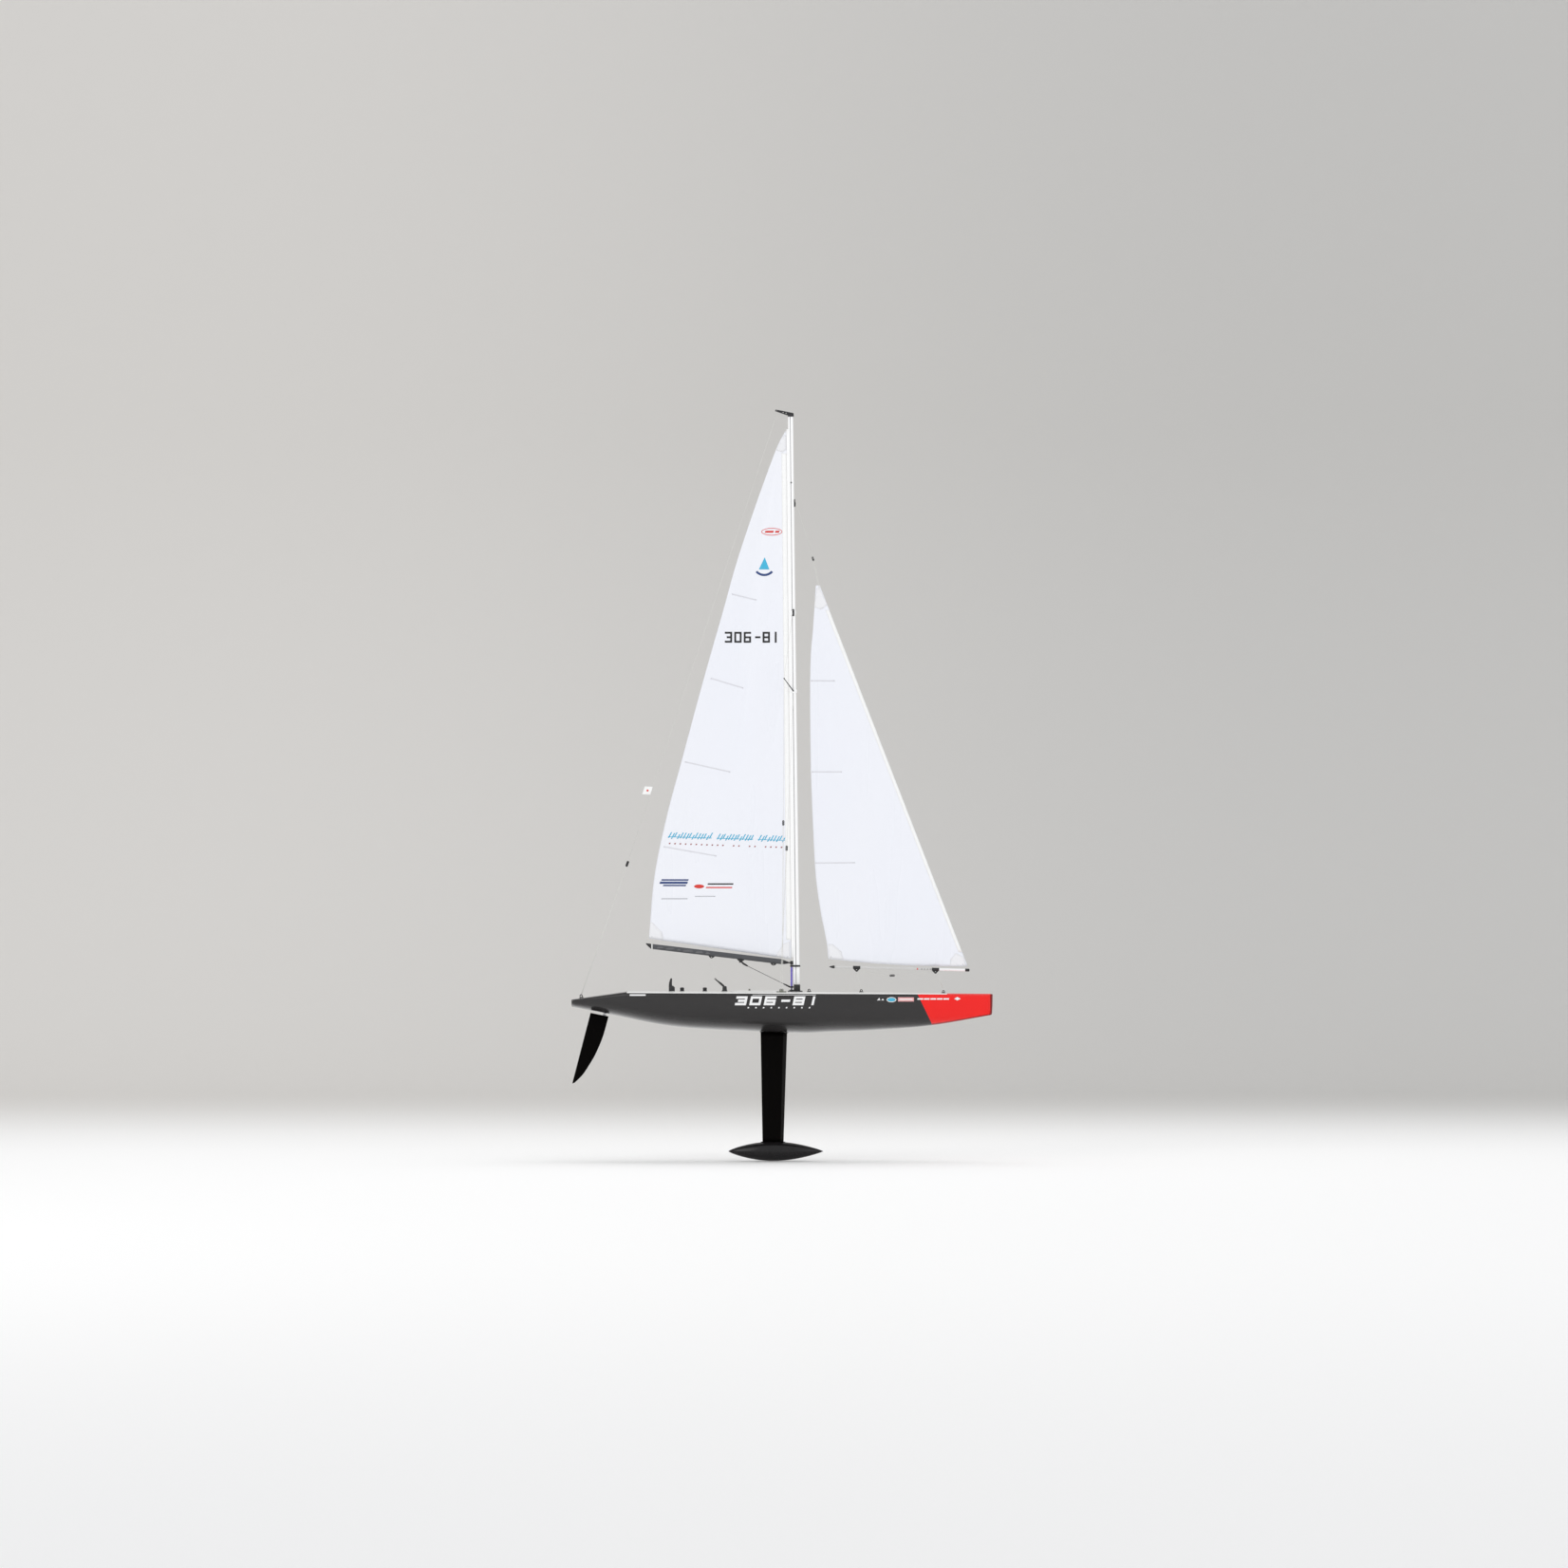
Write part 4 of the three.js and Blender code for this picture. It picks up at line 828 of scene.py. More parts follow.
def figure_shapes(text, x, z, width, height, stroke, lean=0.0):
    """Plain block figures, each made of up to seven strokes, filling a width from x."""
    pitch = width / (len(text) - 0.22)
    wide = pitch * 0.78
    half = height / 2
    under, over = half - stroke / 2, half + stroke / 2
    strokes = {"a": (0, wide, height - stroke, height), "d": (0, wide, 0, stroke),
               "g": (stroke, wide, under, over), "m": (wide - stroke, wide, under, over),
               "b": (wide - stroke, wide, over, height - stroke), "c": (wide - stroke, wide, stroke, under),
               "f": (0, stroke, half, height - stroke), "e": (0, stroke, stroke, half),
               "h": (wide / 2 - stroke / 2, wide / 2 + stroke / 2, 0, height)}
    shapes = []
    for place, figure in enumerate(text):
        left = x + place * pitch
        for letter in FIGURE_STROKES[figure]:
            x0, x1, z0, z1 = strokes[letter]
            corners = ((x0, z0), (x1, z0), (x1, z1), (x0, z1))
            shapes.append([(left + px + lean * pz, z + pz) for px, pz in corners])
    return shapes


def flipped(shapes, centre):
    """The shapes turned left for right about an X, to read properly on the other side."""
    return [[(2 * centre - x, z) for x, z in reversed(shape)] for shape in shapes]


def on_hull(side):
    def place(x, z, lift):
        return Vector((x, side * (hull_side(x, z) + 0.12 + lift), z))
    return place


def build_hull_graphics():
    figures = figure_shapes(NUMBER, -92, 62.5, 196, 21, 5.6, lean=0.22)
    line = [bar(-50, 99, 86.2, 87.2)]
    dots = [bar(a, a + 3.4, 55.2, 58.4, 0.8) for a in (-62, -44, -26, -8, 10, 28, 46, 64, 82)]
    stern = [bar(-340, -302, 84.6, 88.2, 0.6)]
    marks = [[(243, 74), (251, 74), (249, 80)], [(253, 74), (260, 74), (257, 78.5)]]
    stripes = [bar(a, a + 13.5, 75.4, 79.0, 0.8) for a in (339, 354.5, 370, 385.5, 401)]
    star = [[(427, 77.5), (434.5, 73.5), (443, 77.5), (434.5, 82)]]
    for side, word in SIDES:
        place = on_hull(side)
        numbers = figures if side < 0 else flipped(figures, 6)
        lay_on(numbers, place, "ink_white", "hull", f"hull_number_{word}")
        lay_on(line + dots + stern + marks + stripes + star, place, "ink_white", "hull",
               f"hull_white_marks_{word}")
        lay_on(ring_bands(277.5, 75.5, 11.5, 6.0, 1.6), place, "ink_white", "hull", f"hull_oval_ring_{word}")
        lay_on([oval(277.5, 75.5, 9.4, 4.0)], place, "ink_cyan", "hull", f"hull_oval_fill_{word}")
        lay_on([bar(293, 331, 71.2, 81)], place, "ink_pink", "hull", f"hull_pink_panel_{word}")

        def over(x, z, lift, place=place, side=side):
            return place(x, z, lift) + Vector((0, side * 0.14, 0))
        lay_on([bar(296, 328, 75.0, 77.4)], over, "ink_white", "hull", f"hull_panel_bar_{word}")


# ---------------------------------------------------------------- keel, bulb and rudder

def foil(s):
    """Half the thickness of a streamlined section, for a chord of 1 and a thickness of 1."""
    return 5 * (0.2969 * math.sqrt(s) - 0.126 * s - 0.3516 * s**2 + 0.2843 * s**3 - 0.1015 * s**4)


def foil_ring(lead, trail, thickness, steps=26, edge=0.3, mark=None):
    """A section from its leading edge round to it again; mark puts a station that far behind it."""
    half = []
    stops = [(1 - math.cos(math.pi * k / steps)) / 2 for k in range(steps + 1)]
    if mark:
        share = mark / (Vector(lead) - Vector(trail)).length
        nearest = min(range(1, steps), key=lambda i: abs(stops[i] - share))
        stops[nearest] = share
    for s in stops:
        point = Vector(lead).lerp(Vector(trail), s)
        half.append(Vector((point.x, edge * smooth(s * 12) + thickness * foil(s), point.z)))
    return half + [Vector((p.x, -p.y, p.z)) for p in reversed(half)]


FIN = {"top": (-31.6, 31.4), "tip": (-27.0, 23.0), "tip_z": -262.1, "thickness": 7.5, "taper": 0.8,
       "edge_strip": 9.0}
BULB = {"radius": 22.8, "z": -283.8, "seam": 0.5}


def fin_edges(t):
    """The trailing and leading edges at t, 0 under the hull to 1 at the bulb."""
    return [Vector((mix(top, tip, t), 0, mix(curve_at(BOTTOM, top) - 0.4, FIN["tip_z"], t)))
            for top, tip in zip(FIN["top"], FIN["tip"])]


def build_keel():
    rings = []
    for k in range(25):
        t = k / 24
        trail, lead = fin_edges(t)
        taper = mix(1, FIN["taper"], t)
        rings.append(foil_ring(lead, trail, FIN["thickness"] * taper, edge=0.5,
                               mark=FIN["edge_strip"] * taper))
    blade = skin(rings)
    blade.materials.append(FINISHES["foil_black"])
    blade.materials.append(FINISHES["foil_edge"])
    top_z = fin_edges(0)[1].z
    for polygon in blade.polygons:
        t = (polygon.center.z - top_z) / (FIN["tip_z"] - top_z)
        behind = mix(FIN["top"][1], FIN["tip"][1], t) - polygon.center.x
        if behind < FIN["edge_strip"] * mix(1, FIN["taper"], t) - 0.1:
            polygon.material_index = 1
    tab = rounded_box((48, 6, 52), (0, 0, 24), 0.6)
    settle("keel_blade", merged(blade, tab), "hull", "foil_black", ["keel_fin"])

    collar = []
    for lift, grow in ((0.0, 3.0), (-0.8, 2.6), (-1.6, 1.2), (-1.8, 0.4)):
        ring = []
        for a in angles(48):
            x = (FIN["top"][1] + grow) * math.cos(a)
            y = (4.0 + grow) * abs(math.sin(a)) ** 0.8 * math.copysign(1, math.sin(a))
            ring.append(Vector((x, y, curve_at(BOTTOM, x) - 0.2 + lift)))
        collar.append(ring)
    settle("keel_fairing", skin(collar), "hull", "foil_black")


def bulb_ring(x, reach, seam=0.0):
    """A round section of the bulb, with the casting's seam standing out on either side."""
    ring = []
    for a in angles(72):
        out = reach + seam * math.exp(-(math.sin(a) / 0.05) ** 2)
        ring.append(Vector((x, out * math.cos(a), BULB["z"] + reach * math.sin(a))))
    return ring


def build_bulb():
    back, front = low("ballast_bulb").x, high("ballast_bulb").x
    rings = [bulb_ring(back, 0.25)]
    for k in range(1, 64):
        s = k / 64
        reach = BULB["radius"] * math.sin(math.pi * s**0.93) ** 0.82
        rings.append(bulb_ring(mix(back, front, s), reach, BULB["seam"] * smooth(reach / 6)))
    rings.append(bulb_ring(front, 0.25))
    settle("ballast_casting", skin(rings), "hull", "ballast_cast", ["ballast_bulb"])
    top = lying(cut_plate([oval(-2, 0, 29, 6.2)], 1.6, 0.5), (0, 0, FIN["tip_z"] + 0.3))
    settle("bulb_joint_fillet", top, "hull", "foil_black")


RUDDER_AXIS = Vector((0.25, 0, 0.968)).normalized()
RUDDER_ENTRY = Vector((-402, 0, 40.6))
RUDDER_LEADING = [(35.6, -392.5), (1.8, -401.5), (-21, -409), (-54, -423.5), (-76, -436), (-103, -454),
                  (-119, -470)]
RUDDER_TRAILING = {"top": (-435.4, 44.2), "tip": (-477.5, -119)}
RUDDER_TIP = (-478.5, -123.9)


def build_rudder():
    top_z, end_z = RUDDER_LEADING[0][0], RUDDER_LEADING[-1][0]
    climbing = [(z, x) for z, x in reversed(RUDDER_LEADING)]
    (trail_x, trail_z), (tip_x, tip_z) = RUDDER_TRAILING["top"], RUDDER_TRAILING["tip"]
    rings = []
    for k in range(31):
        t = k / 30
        z = mix(top_z, end_z, t)
        lead = (curve_at(climbing, z), 0, z)
        trail = (mix(trail_x, tip_x, t), 0, mix(trail_z, tip_z, t))
        rings.append(foil_ring(lead, trail, 7 * mix(1, 0.35, t), 20, 0.25))
    for t in (0.4, 0.75, 1.0):
        lead_x = mix(RUDDER_LEADING[-1][1], RUDDER_TIP[0] + 0.9, t**1.6)
        lead = (lead_x, 0, mix(end_z, RUDDER_TIP[1] + 0.6, t))
        trail = (mix(tip_x, RUDDER_TIP[0] + 0.1, t), 0, mix(tip_z, RUDDER_TIP[1], t))
        rings.append(foil_ring(lead, trail, mix(2.4, 0.8, t), 20, 0.2))
    settle("rudder_blade", skin(rings), "rudder", "foil_black")
    profile = [(0, -20), (2, -20), (2, 37.4), (1.4, 38), (0, 38)]
    settle("rudder_stock", turned(profile, RUDDER_ENTRY, RUDDER_AXIS, 28, ease=0.35), "rudder", "stainless",
           ["rudder"])
    washer = turned([(2.1, 0), (4.8, 0), (4.8, 1.2), (2.1, 1.2)], RUDDER_ENTRY - RUDDER_AXIS * 2.0,
                    RUDDER_AXIS, 28, ease=0.3)
    settle("rudder_washer", washer, "rudder", "black_nylon")


STEERING_ARM = 17.0
TILLER_LIFT = 31.0
SERVO_TOP = Vector((-150, 0, 66))
TILT = math.atan2(RUDDER_AXIS.x, RUDDER_AXIS.z)


def rudder_point(lift, side=0.0):
    return RUDDER_ENTRY + RUDDER_AXIS * lift + Vector((0, side, 0))


def arm_plate(hub, bore):
    """A steering arm with its hub, a row of linkage holes and, when given, a bore through the hub."""
    outline = arc(0, 0, 5, 171, 369, 20) + arc(0, STEERING_ARM, 3, 3, 177, 14)
    holes = [circle(0, STEERING_ARM - 5.5 * k, 1.1, 16) for k in range(2)]
    if bore:
        holes.append(circle(0, 0, bore, 24))
    return lying(cut_plate([outline] + holes, 2.4, 0.35), hub + RUDDER_AXIS * 1.2, RUDDER_AXIS)


def screw_head(at, axis=(0, 0, 1), radius=1.6):
    """A cross-slotted pan head."""
    head = turned([(0, 0), (radius, 0), (radius, 0.5), (radius * 0.6, 1.0), (0, 1.05)], sides=24, ease=0.3)
    slots = [rounded_box((radius * 1.2, 0.35, 0.7), (0, 0, 1.05), 0.05, Matrix.Rotation(a, 4, "Z"))
             for a in (0, math.pi / 2)]
    for slot in slots:
        head = carved(head, slot)
    return lying(head, at, axis)


def build_steering():
    wall = [(2.4, 2), (4, 2), (4, TILLER_LIFT - 3), (2.4, TILLER_LIFT - 3), (2.4, 2)]
    rings = [[RUDDER_ENTRY + Matrix.Rotation(TILT, 3, "Y") @ Vector((r * math.cos(a), r * math.sin(a), h))
              for a in angles(32)] for r, h in wall]
    settle("rudder_bush_tube", skin(rings, cap=False), "hull", "stainless", ["rudder_tube"])
    flange = turned([(4.2, 0), (8, 0), (8, 1.2), (5, 2.4), (4.2, 2.4)], rudder_point(3.4),
                    RUDDER_AXIS, 32, ease=0.3)
    settle("rudder_tube_flange", flange, "hull", "white_moulding")

    hub = rudder_point(TILLER_LIFT)
    boss = turned([(2.3, 0), (4.4, 0), (4.4, 3.6), (2.3, 3.6)], hub + RUDDER_AXIS * 2.4,
                  RUDDER_AXIS, 32, ease=0.3)
    grub = turned([(0, 0), (1, 0), (1, 1.6), (0, 1.6)], hub + RUDDER_AXIS * 4.2 + Vector((0, -4.2, 0)),
                  (0, -1, 0), 16, ease=0.2)
    settle("tiller", merged(arm_plate(hub, 2.3), boss, grub), "rudder", "black_nylon", ["tiller_arm"])

    horn_base = SERVO_TOP + RUDDER_AXIS * 3
    cap = turned([(0, 0), (4.2, 0), (4.2, 1.8), (3.4, 2.2), (0, 2.2)], horn_base + RUDDER_AXIS * 2.4,
                 RUDDER_AXIS, 32, ease=0.4)
    settle("steering_horn", merged(arm_plate(horn_base, 0), cap), "servo_horn", "white_moulding",
           ["servo_horn"])
    screw = screw_head(horn_base + RUDDER_AXIS * 4.6, RUDDER_AXIS, 1.7)
    settle("steering_horn_screw", screw, "servo_horn", "stainless")

    above = 4.6
    aft = rudder_point(TILLER_LIFT + above, STEERING_ARM)
    fore = horn_base + RUDDER_AXIS * above + Vector((0, STEERING_ARM, 0))
    down = RUDDER_AXIS * 5.4
    wire = tube_bend([aft - down, aft, fore, fore - down], 0.9, 1.6)
    settle("steering_wire", wire, "pushrod", "stainless", ["pushrod"])

    body = rounded_box((40, 20, 44), (0, 0, -22), 1.2)
    lid = rounded_box((40.6, 20.4, 7), (0, 0, -3.4), 1.2)
    ears = rounded_box((54, 19, 2.4), (0, 0, -11), 0.8)
    boss = turned([(0, -1), (5.6, -1), (5.6, 2), (4.8, 2.5), (0, 2.5)], sides=32, ease=0.4)
    spline = turned([(0, 2.4), (3.2, 2.4), (3.2, 2.8), (0, 2.8)], sides=24)
    servo = merged(body, lid, ears, boss, spline)
    servo.transform(Matrix.Translation(SERVO_TOP) @ Matrix.Rotation(TILT, 4, "Y"))
    cutter = rounded_box((140, 80, 60), (-150, 0, low("rudder_servo").z - 30), 0.1)
    settle("steering_servo", carved(servo, cutter), "hull", "black_nylon", ["rudder_servo"])
    for side in (-1, 1):
        for end in (-23.5, 23.5):
            spot = SERVO_TOP + Matrix.Rotation(TILT, 3, "Y") @ Vector((end, side * 5, -9.8))
            settle(f"servo_screw_{'fore' if end > 0 else 'aft'}_{'port' if side > 0 else 'starboard'}",
                   screw_head(spot, RUDDER_AXIS), "hull", "stainless")


def tube_bend(points, radius, bend):
    """A wire through points, each inner corner bent round."""
    route = [Vector(points[0])]
    for before, corner, after in zip(points, points[1:], points[2:]):
        a = Vector(corner) + (Vector(before) - Vector(corner)).normalized() * bend
        b = Vector(corner) + (Vector(after) - Vector(corner)).normalized() * bend
        for k in range(7):
            t = k / 6
            route.append((1 - t) ** 2 * a + 2 * t * (1 - t) * Vector(corner) + t * t * b)
    route.append(Vector(points[-1]))
    return tube(route, radius, 14)


# ---------------------------------------------------------------- equipment inside the hull

def build_equipment():
    lo, hi = ends("equipment_tray")
    outline = rounded_rect(lo.x, hi.x, lo.y, hi.y, 10, 8)
    holes = [rounded_rect(-146, -118, -40, -16, 5, 6), circle(-60, 36, 4, 24), circle(-60, -36, 4, 24)]
    tray = lying(cut_plate([outline] + holes, hi.z - lo.z, 0.3), (0, 0, (lo.z + hi.z) / 2))
    settle("tray_board", tray, "hull", "tray_ply", ["equipment_tray"])

    lo, hi = ends("winch_servo")
    width, depth = hi.x - lo.x, hi.y - lo.y
    case = rounded_box((width, depth, 34), ((lo.x + hi.x) / 2, 0, lo.z + 17), 1.4)
    cover = rounded_box((width + 0.6, depth + 0.4, 6), ((lo.x + hi.x) / 2, 0, lo.z + 32.8), 1.4)
    ears = rounded_box((width + 13, depth - 2, 2.4), ((lo.x + hi.x) / 2, 0, lo.z + 24), 0.8)
    drum = middle("winch_drum")
    boss = turned([(0, -2), (6, -2), (6, 1.4), (5, 2), (0, 2)],
                  (drum.x, 0, lo.z + 36), sides=32, ease=0.4)
    settle("winch_case", merged(case, cover, ears, boss), "hull", "black_nylon", ["winch_servo"])
    label = rounded_box((22, 0.5, 12), (lo.x + 20, lo.y - 0.2, lo.z + 13), 0.2)
    settle("winch_case_panel", label, "hull", "ink_grey")

    base = low("winch_drum").z
    profile = [(0, 0), (17, 0), (17, 1.6), (13, 2.6), (12.6, 4.8), (13, 7), (17, 8), (17, 9.5), (4.4, 9.5),
               (4.4, 11), (0, 11)]
    settle("line_drum", turned(profile, (drum.x, 0, base), sides=56, ease=0.4), "winch_drum",
           "white_moulding", ["winch_drum"])
    settle("line_drum_screw", screw_head((drum.x, 0, base + 11), radius=2.2), "winch_drum", "stainless")
    turns = []
    for k in range(5 * 40 + 1):
        angle = 2 * math.pi * k / 40
        turns.append((drum.x + 13.6 * math.cos(angle), 13.6 * math.sin(angle), base + 3.2 + 0.66 * k / 40))
    settle("line_on_drum", tube(turns, 0.42, 8), "winch_drum", "rigging_cord")

    lo, hi = ends("receiver")
    box = rounded_box(tuple(hi - lo), tuple((lo + hi) / 2), 1.6)
    rail = rounded_box((3, hi.y - lo.y - 4, 2.4), (hi.x - 1.6, (lo.y + hi.y) / 2, hi.z - 2), 0.4)
    settle("receiver_case", merged(box, rail), "hull", "blue_case", ["receiver"])
    plate = rounded_box((26, 11, 0.4), (lo.x + 17, (lo.y + hi.y) / 2, hi.z + 0.1), 0.1)
    settle("receiver_panel", plate, "hull", "ink_grey")

    lo, hi = ends("battery_pack")
    rings = []
    for x, shrink in ((0, 2.0), (0.5, 0.8), (1.8, 0.1), (28, 0.0), (28.8, 0.35), (31.2, 0.35), (32, 0.0),
                      (58.2, 0.1), (59.5, 0.8), (60, 2.0)):
        ring = []
        for a in angles(64):
            lobe = 1 - 0.035 * (1 + math.cos(4 * a)) / 2
            reach = [math.copysign(abs(f) ** 0.5, f) for f in (math.cos(a), math.sin(a))]
            ring.append(Vector((lo.x + x, (15 - shrink) * reach[0] * lobe, (lo.z + hi.z) / 2
                                + (14 - shrink) * reach[1] * lobe)))
        rings.append(ring)
    settle("battery_wrap", skin(rings), "hull", "blue_case", ["battery_pack"])

    lo, hi = ends("power_switch")
    case = rounded_box(tuple(hi - lo), tuple((lo + hi) / 2), 1.0)
    slot_cut = rounded_box((14, 4.6, 4), ((lo.x + hi.x) / 2, (lo.y + hi.y) / 2, hi.z + 0.6), 0.4)
    settle("switch_case", carved(case, slot_cut), "hull", "black_nylon", ["power_switch"])
    lo, hi = ends("switch_slider")
    ridges = [rounded_box((0.9, hi.y - lo.y, 0.8), (lo.x + 1 + k * 1.5, (lo.y + hi.y) / 2, hi.z - 0.3), 0.2)
              for k in range(3)]
    knob = rounded_box(tuple(hi - lo - Vector((0, 0, 0.6))), tuple((lo + hi) / 2 - Vector((0, 0, 0.3))), 0.5)
    settle("switch_knob", merged(knob, *ridges), "switch_slider", "white_moulding", ["switch_slider"])

    lo, hi = ends("keel_trunk")
    case = rounded_box(tuple(hi - lo), tuple((lo + hi) / 2), 1.2)
    well = rounded_box((50, 7.2, hi.z - lo.z), (0, 0, (lo.z + hi.z) / 2 - 4), 0.3)
    hole = turned([(0, hi.z - 12), (2.6, hi.z - 12), (2.6, hi.z + 5), (0, hi.z + 5)], sides=24)
    settle("keel_box", carved(carved(case, well), hole), "hull", "white_moulding", ["keel_trunk"])
    base = hi.z + GAP
    washer = turned([(2.1, 0), (7, 0), (7, 0.8), (2.1, 0.8)], (0, 0, base), sides=36, ease=0.2)
    nut = cut_plate([circle(0, 0, 6, 6)], 4.2, 0.5)
    stud = turned([(0, -9.6), (2, -9.6), (2, 8.4), (1.4, 9), (0, 9)], (0, 0, base), sides=24, ease=0.3)
    settle("keel_nut", merged(washer, lying(nut, (0, 0, base + 2.9)), stud), "hull", "stainless",
           ["keel_bolt"])

    lo, hi = ends("mast_post")
    profile = [(0, 0), (7, 0), (7, 2), (4, 3.2), (4, hi.z - lo.z - 1), (3.4, hi.z - lo.z), (0, hi.z - lo.z)]
    settle("mast_pillar", turned(profile, (52, 0, lo.z), sides=36, ease=0.4), "hull", "mast_alloy",
           ["mast_post"])


# ---------------------------------------------------------------- mast

MAST = {"base_x": 54.1, "base_z": 98.0, "top_x": 39.5, "top_z": 1465.0, "foot_z": 111.6,
        "chord": (7.5, 6.0), "width": (5.5, 4.4)}
LUFF_SETBACK = 4.3
SPREADER = {"root_z": 809.0, "tip_x": 24.0, "tip_y": 61.4, "tip_z": 836.0}
TANG_Z = 996
RIVET_Z = 1307


def mast_at(z):
    return (z - MAST["base_z"]) / (MAST["top_z"] - MAST["base_z"])


def mast_x(z):
    return mix(MAST["base_x"], MAST["top_x"], mast_at(z))


def mast_chord(z):
    return mix(*MAST["chord"], mast_at(z))


def mast_width(z):
    return mix(*MAST["width"], mast_at(z))


def luff_x(z):
    return mast_x(z) - mast_chord(z) - LUFF_SETBACK


GROOVE_AT = -0.16        # along the mast's chord, aft of its middle


def mast_ring(z, grow=0.0, groove=0.0):
    ring = []
    turn = math.acos(GROOVE_AT)
    for a in angles(72):
        near = min(abs(a - turn), abs(a - (2 * math.pi - turn)))
        dip = groove * (1.0 if near < 0.11 else 0.0)
        ring.append(Vector((mast_x(z) + (mast_chord(z) + grow) * math.cos(a),
                            (mast_width(z) + grow - dip) * math.sin(a), z)))
    return ring


def mast_band(z, height, wall):
    """A clamped ring round the mast with eased edges."""
    ease = 0.3
    rows = [(0, wall - ease), (ease, wall), (height - ease, wall), (height, wall - ease), (height, 0), (0, 0),
            (0, wall - ease)]
    return skin([mast_ring(z + lift, GAP + thick) for lift, thick in rows], cap=False)


def build_mast():
    top = MAST["top_z"]
    rows = [(MAST["foot_z"], -0.5), (MAST["foot_z"] + 0.5, 0)]
    rows += [(mix(MAST["foot_z"] + 0.5, top - 0.5, k / 40), 0) for k in range(1, 41)]
    rows.append((top, -0.5))
    mesh = skin([mast_ring(z, grow, 0.75) for z, grow in rows])
    mesh.materials.append(FINISHES["mast_alloy"])
    mesh.materials.append(FINISHES["mast_groove"])
    for polygon in mesh.polygons:
        along = (polygon.center.x - mast_x(polygon.center.z)) / mast_chord(polygon.center.z)
        out = abs(polygon.center.y) / mast_width(polygon.center.z)
        if abs(along - GROOVE_AT) < 0.13 and out < 0.93 and MAST["foot_z"] + 1 < polygon.center.z < top - 1:
            polygon.material_index = 1
    settle("mast_tube", mesh, "hull", "mast_alloy", ["mast"])

    lo, hi = ends("mast_step")
    outline = rounded_rect(lo.x, hi.x, lo.y, hi.y, 4, 8)
    holes = [circle(x, y, 1.2, 16) for x in (lo.x + 4, hi.x - 4) for y in (lo.y + 4, hi.y - 4)]
    foot = lying(cut_plate([outline] + holes, 2.4, 0.4), (0, 0, lo.z + 1.2))
    block = rounded_box((15.5, 14, hi.z - lo.z - 1), (54.75, 0, (lo.z + 1 + hi.z) / 2), 1.2)
    arch = lying(cut_plate([bar(34, 47.5, -2.4, 2.4)], 3.0, 0.5), (1.5, 0, lo.z + 3.2))
    settle("mast_shoe", merged(foot, block, arch), "hull", "black_nylon", ["mast_step"])
    for i, (x, y) in enumerate((x, y) for x in (lo.x + 4, hi.x - 4) for y in (lo.y + 4, hi.y - 4)):
        settle(f"mast_shoe_screw_{i + 1}", screw_head((x, y, lo.z + 2.3)), "hull", "stainless")

    lo, hi = ends("gooseneck_rod")
    rod_x, rod_low, rod_high = middle("gooseneck_rod").x, lo.z, hi.z
    profile = [(0, 0), (1.8, 0), (1.8, 9.4), (2.3, 10.2)]
    height = 10.2
    while height < rod_high - rod_low - 8:
        profile += [(2.3, height + 1.4), (1.7, height + 2.1), (2.3, height + 2.8)]
        height += 2.8
    profile += [(1.8, height + 0.6), (1.8, rod_high - rod_low), (0, rod_high - rod_low)]
    settle("kicker_rod", turned(profile, (rod_x, 0, rod_low), sides=32), "hull", "violet_anodised",
           ["gooseneck_rod"])

    lo, hi = ends("mast_collar")
    band = mast_band(hi.z - 4.4, 4.0, 1.5)
    profile = [(2.1, 0), (3.6, 0), (3.6, 3.4), (2.1, 3.4), (2.1, 0)]
    eye_ring = turned(profile, (rod_x, 0, hi.z - 4.2), sides=32)
    link = rounded_box((5.2, 4.4, 2.8), (rod_x + 5.4, 0, hi.z - 2.6), 0.5)
    settle("mast_ring", merged(band, eye_ring, link), "hull", "black_nylon", ["mast_collar"])

    outline = [(2.9, 1478.4), (3.4, 1482.2), (20, 1479.2), (46.8, 1473.5), (47.4, 1465.9), (30, 1468.8),
               (12, 1475.2)]
    holes = [circle(6.2, 1479.4, 0.9, 16), circle(22, 1475.2, 1.2, 16), circle(29, 1473.2, 1.2, 16)]
    crane = standing(cut_plate([outline] + holes, 4.6, 0.5))
    plug = skin([mast_ring(z, grow) for z, grow in ((top + GAP, 0.3), (top + 1.2, 0.5), (top + 5.0, 0.4),
                                                    (top + 6.0, -0.6))])
    settle("mast_crane", merged(crane, plug), "hull", "black_nylon", ["masthead_crane"])

    for side, word in SIDES:
        spot = (mast_x(RIVET_Z), side * (mast_width(RIVET_Z) - 0.2), RIVET_Z)
        rivet = screw_head(spot, (0, side, 0), 1.9)
        settle(f"mast_rivet_{word}", rivet, "hull", "black_nylon")
    rows = []
    for k in range(41):
        z = mix(176, top - 30, k / 40)
        aft, fore = luff_x(z) + 0.5, mast_x(z) - mast_chord(z) + 0.8
        rows.append([Vector((x, y, z)) for x, y in rounded_rect(aft, fore, -1.7, 1.7, 0.6, 3)])
    settle("luff_track", skin(rows), "hull", "mast_alloy")

    face = low("forestay_hook").x
    hook = [(face, 1249), (face + 3.0, 1249.8), (face + 3.6, 1257.5), (face + 2.5, 1261.6),
            (face + 2.4, 1266.8), (face, 1268)]
    plate = standing(cut_plate([hook], 4.0, 0.4))
    pin = turned([(0, -3), (0.9, -3), (0.9, 3), (0, 3)], (face + 1.5, 0, 1262.4), (0, 1, 0), 16, ease=0.2)
    settle("forestay_bracket", merged(plate, pin), "hull", "black_nylon", ["forestay_hook"])

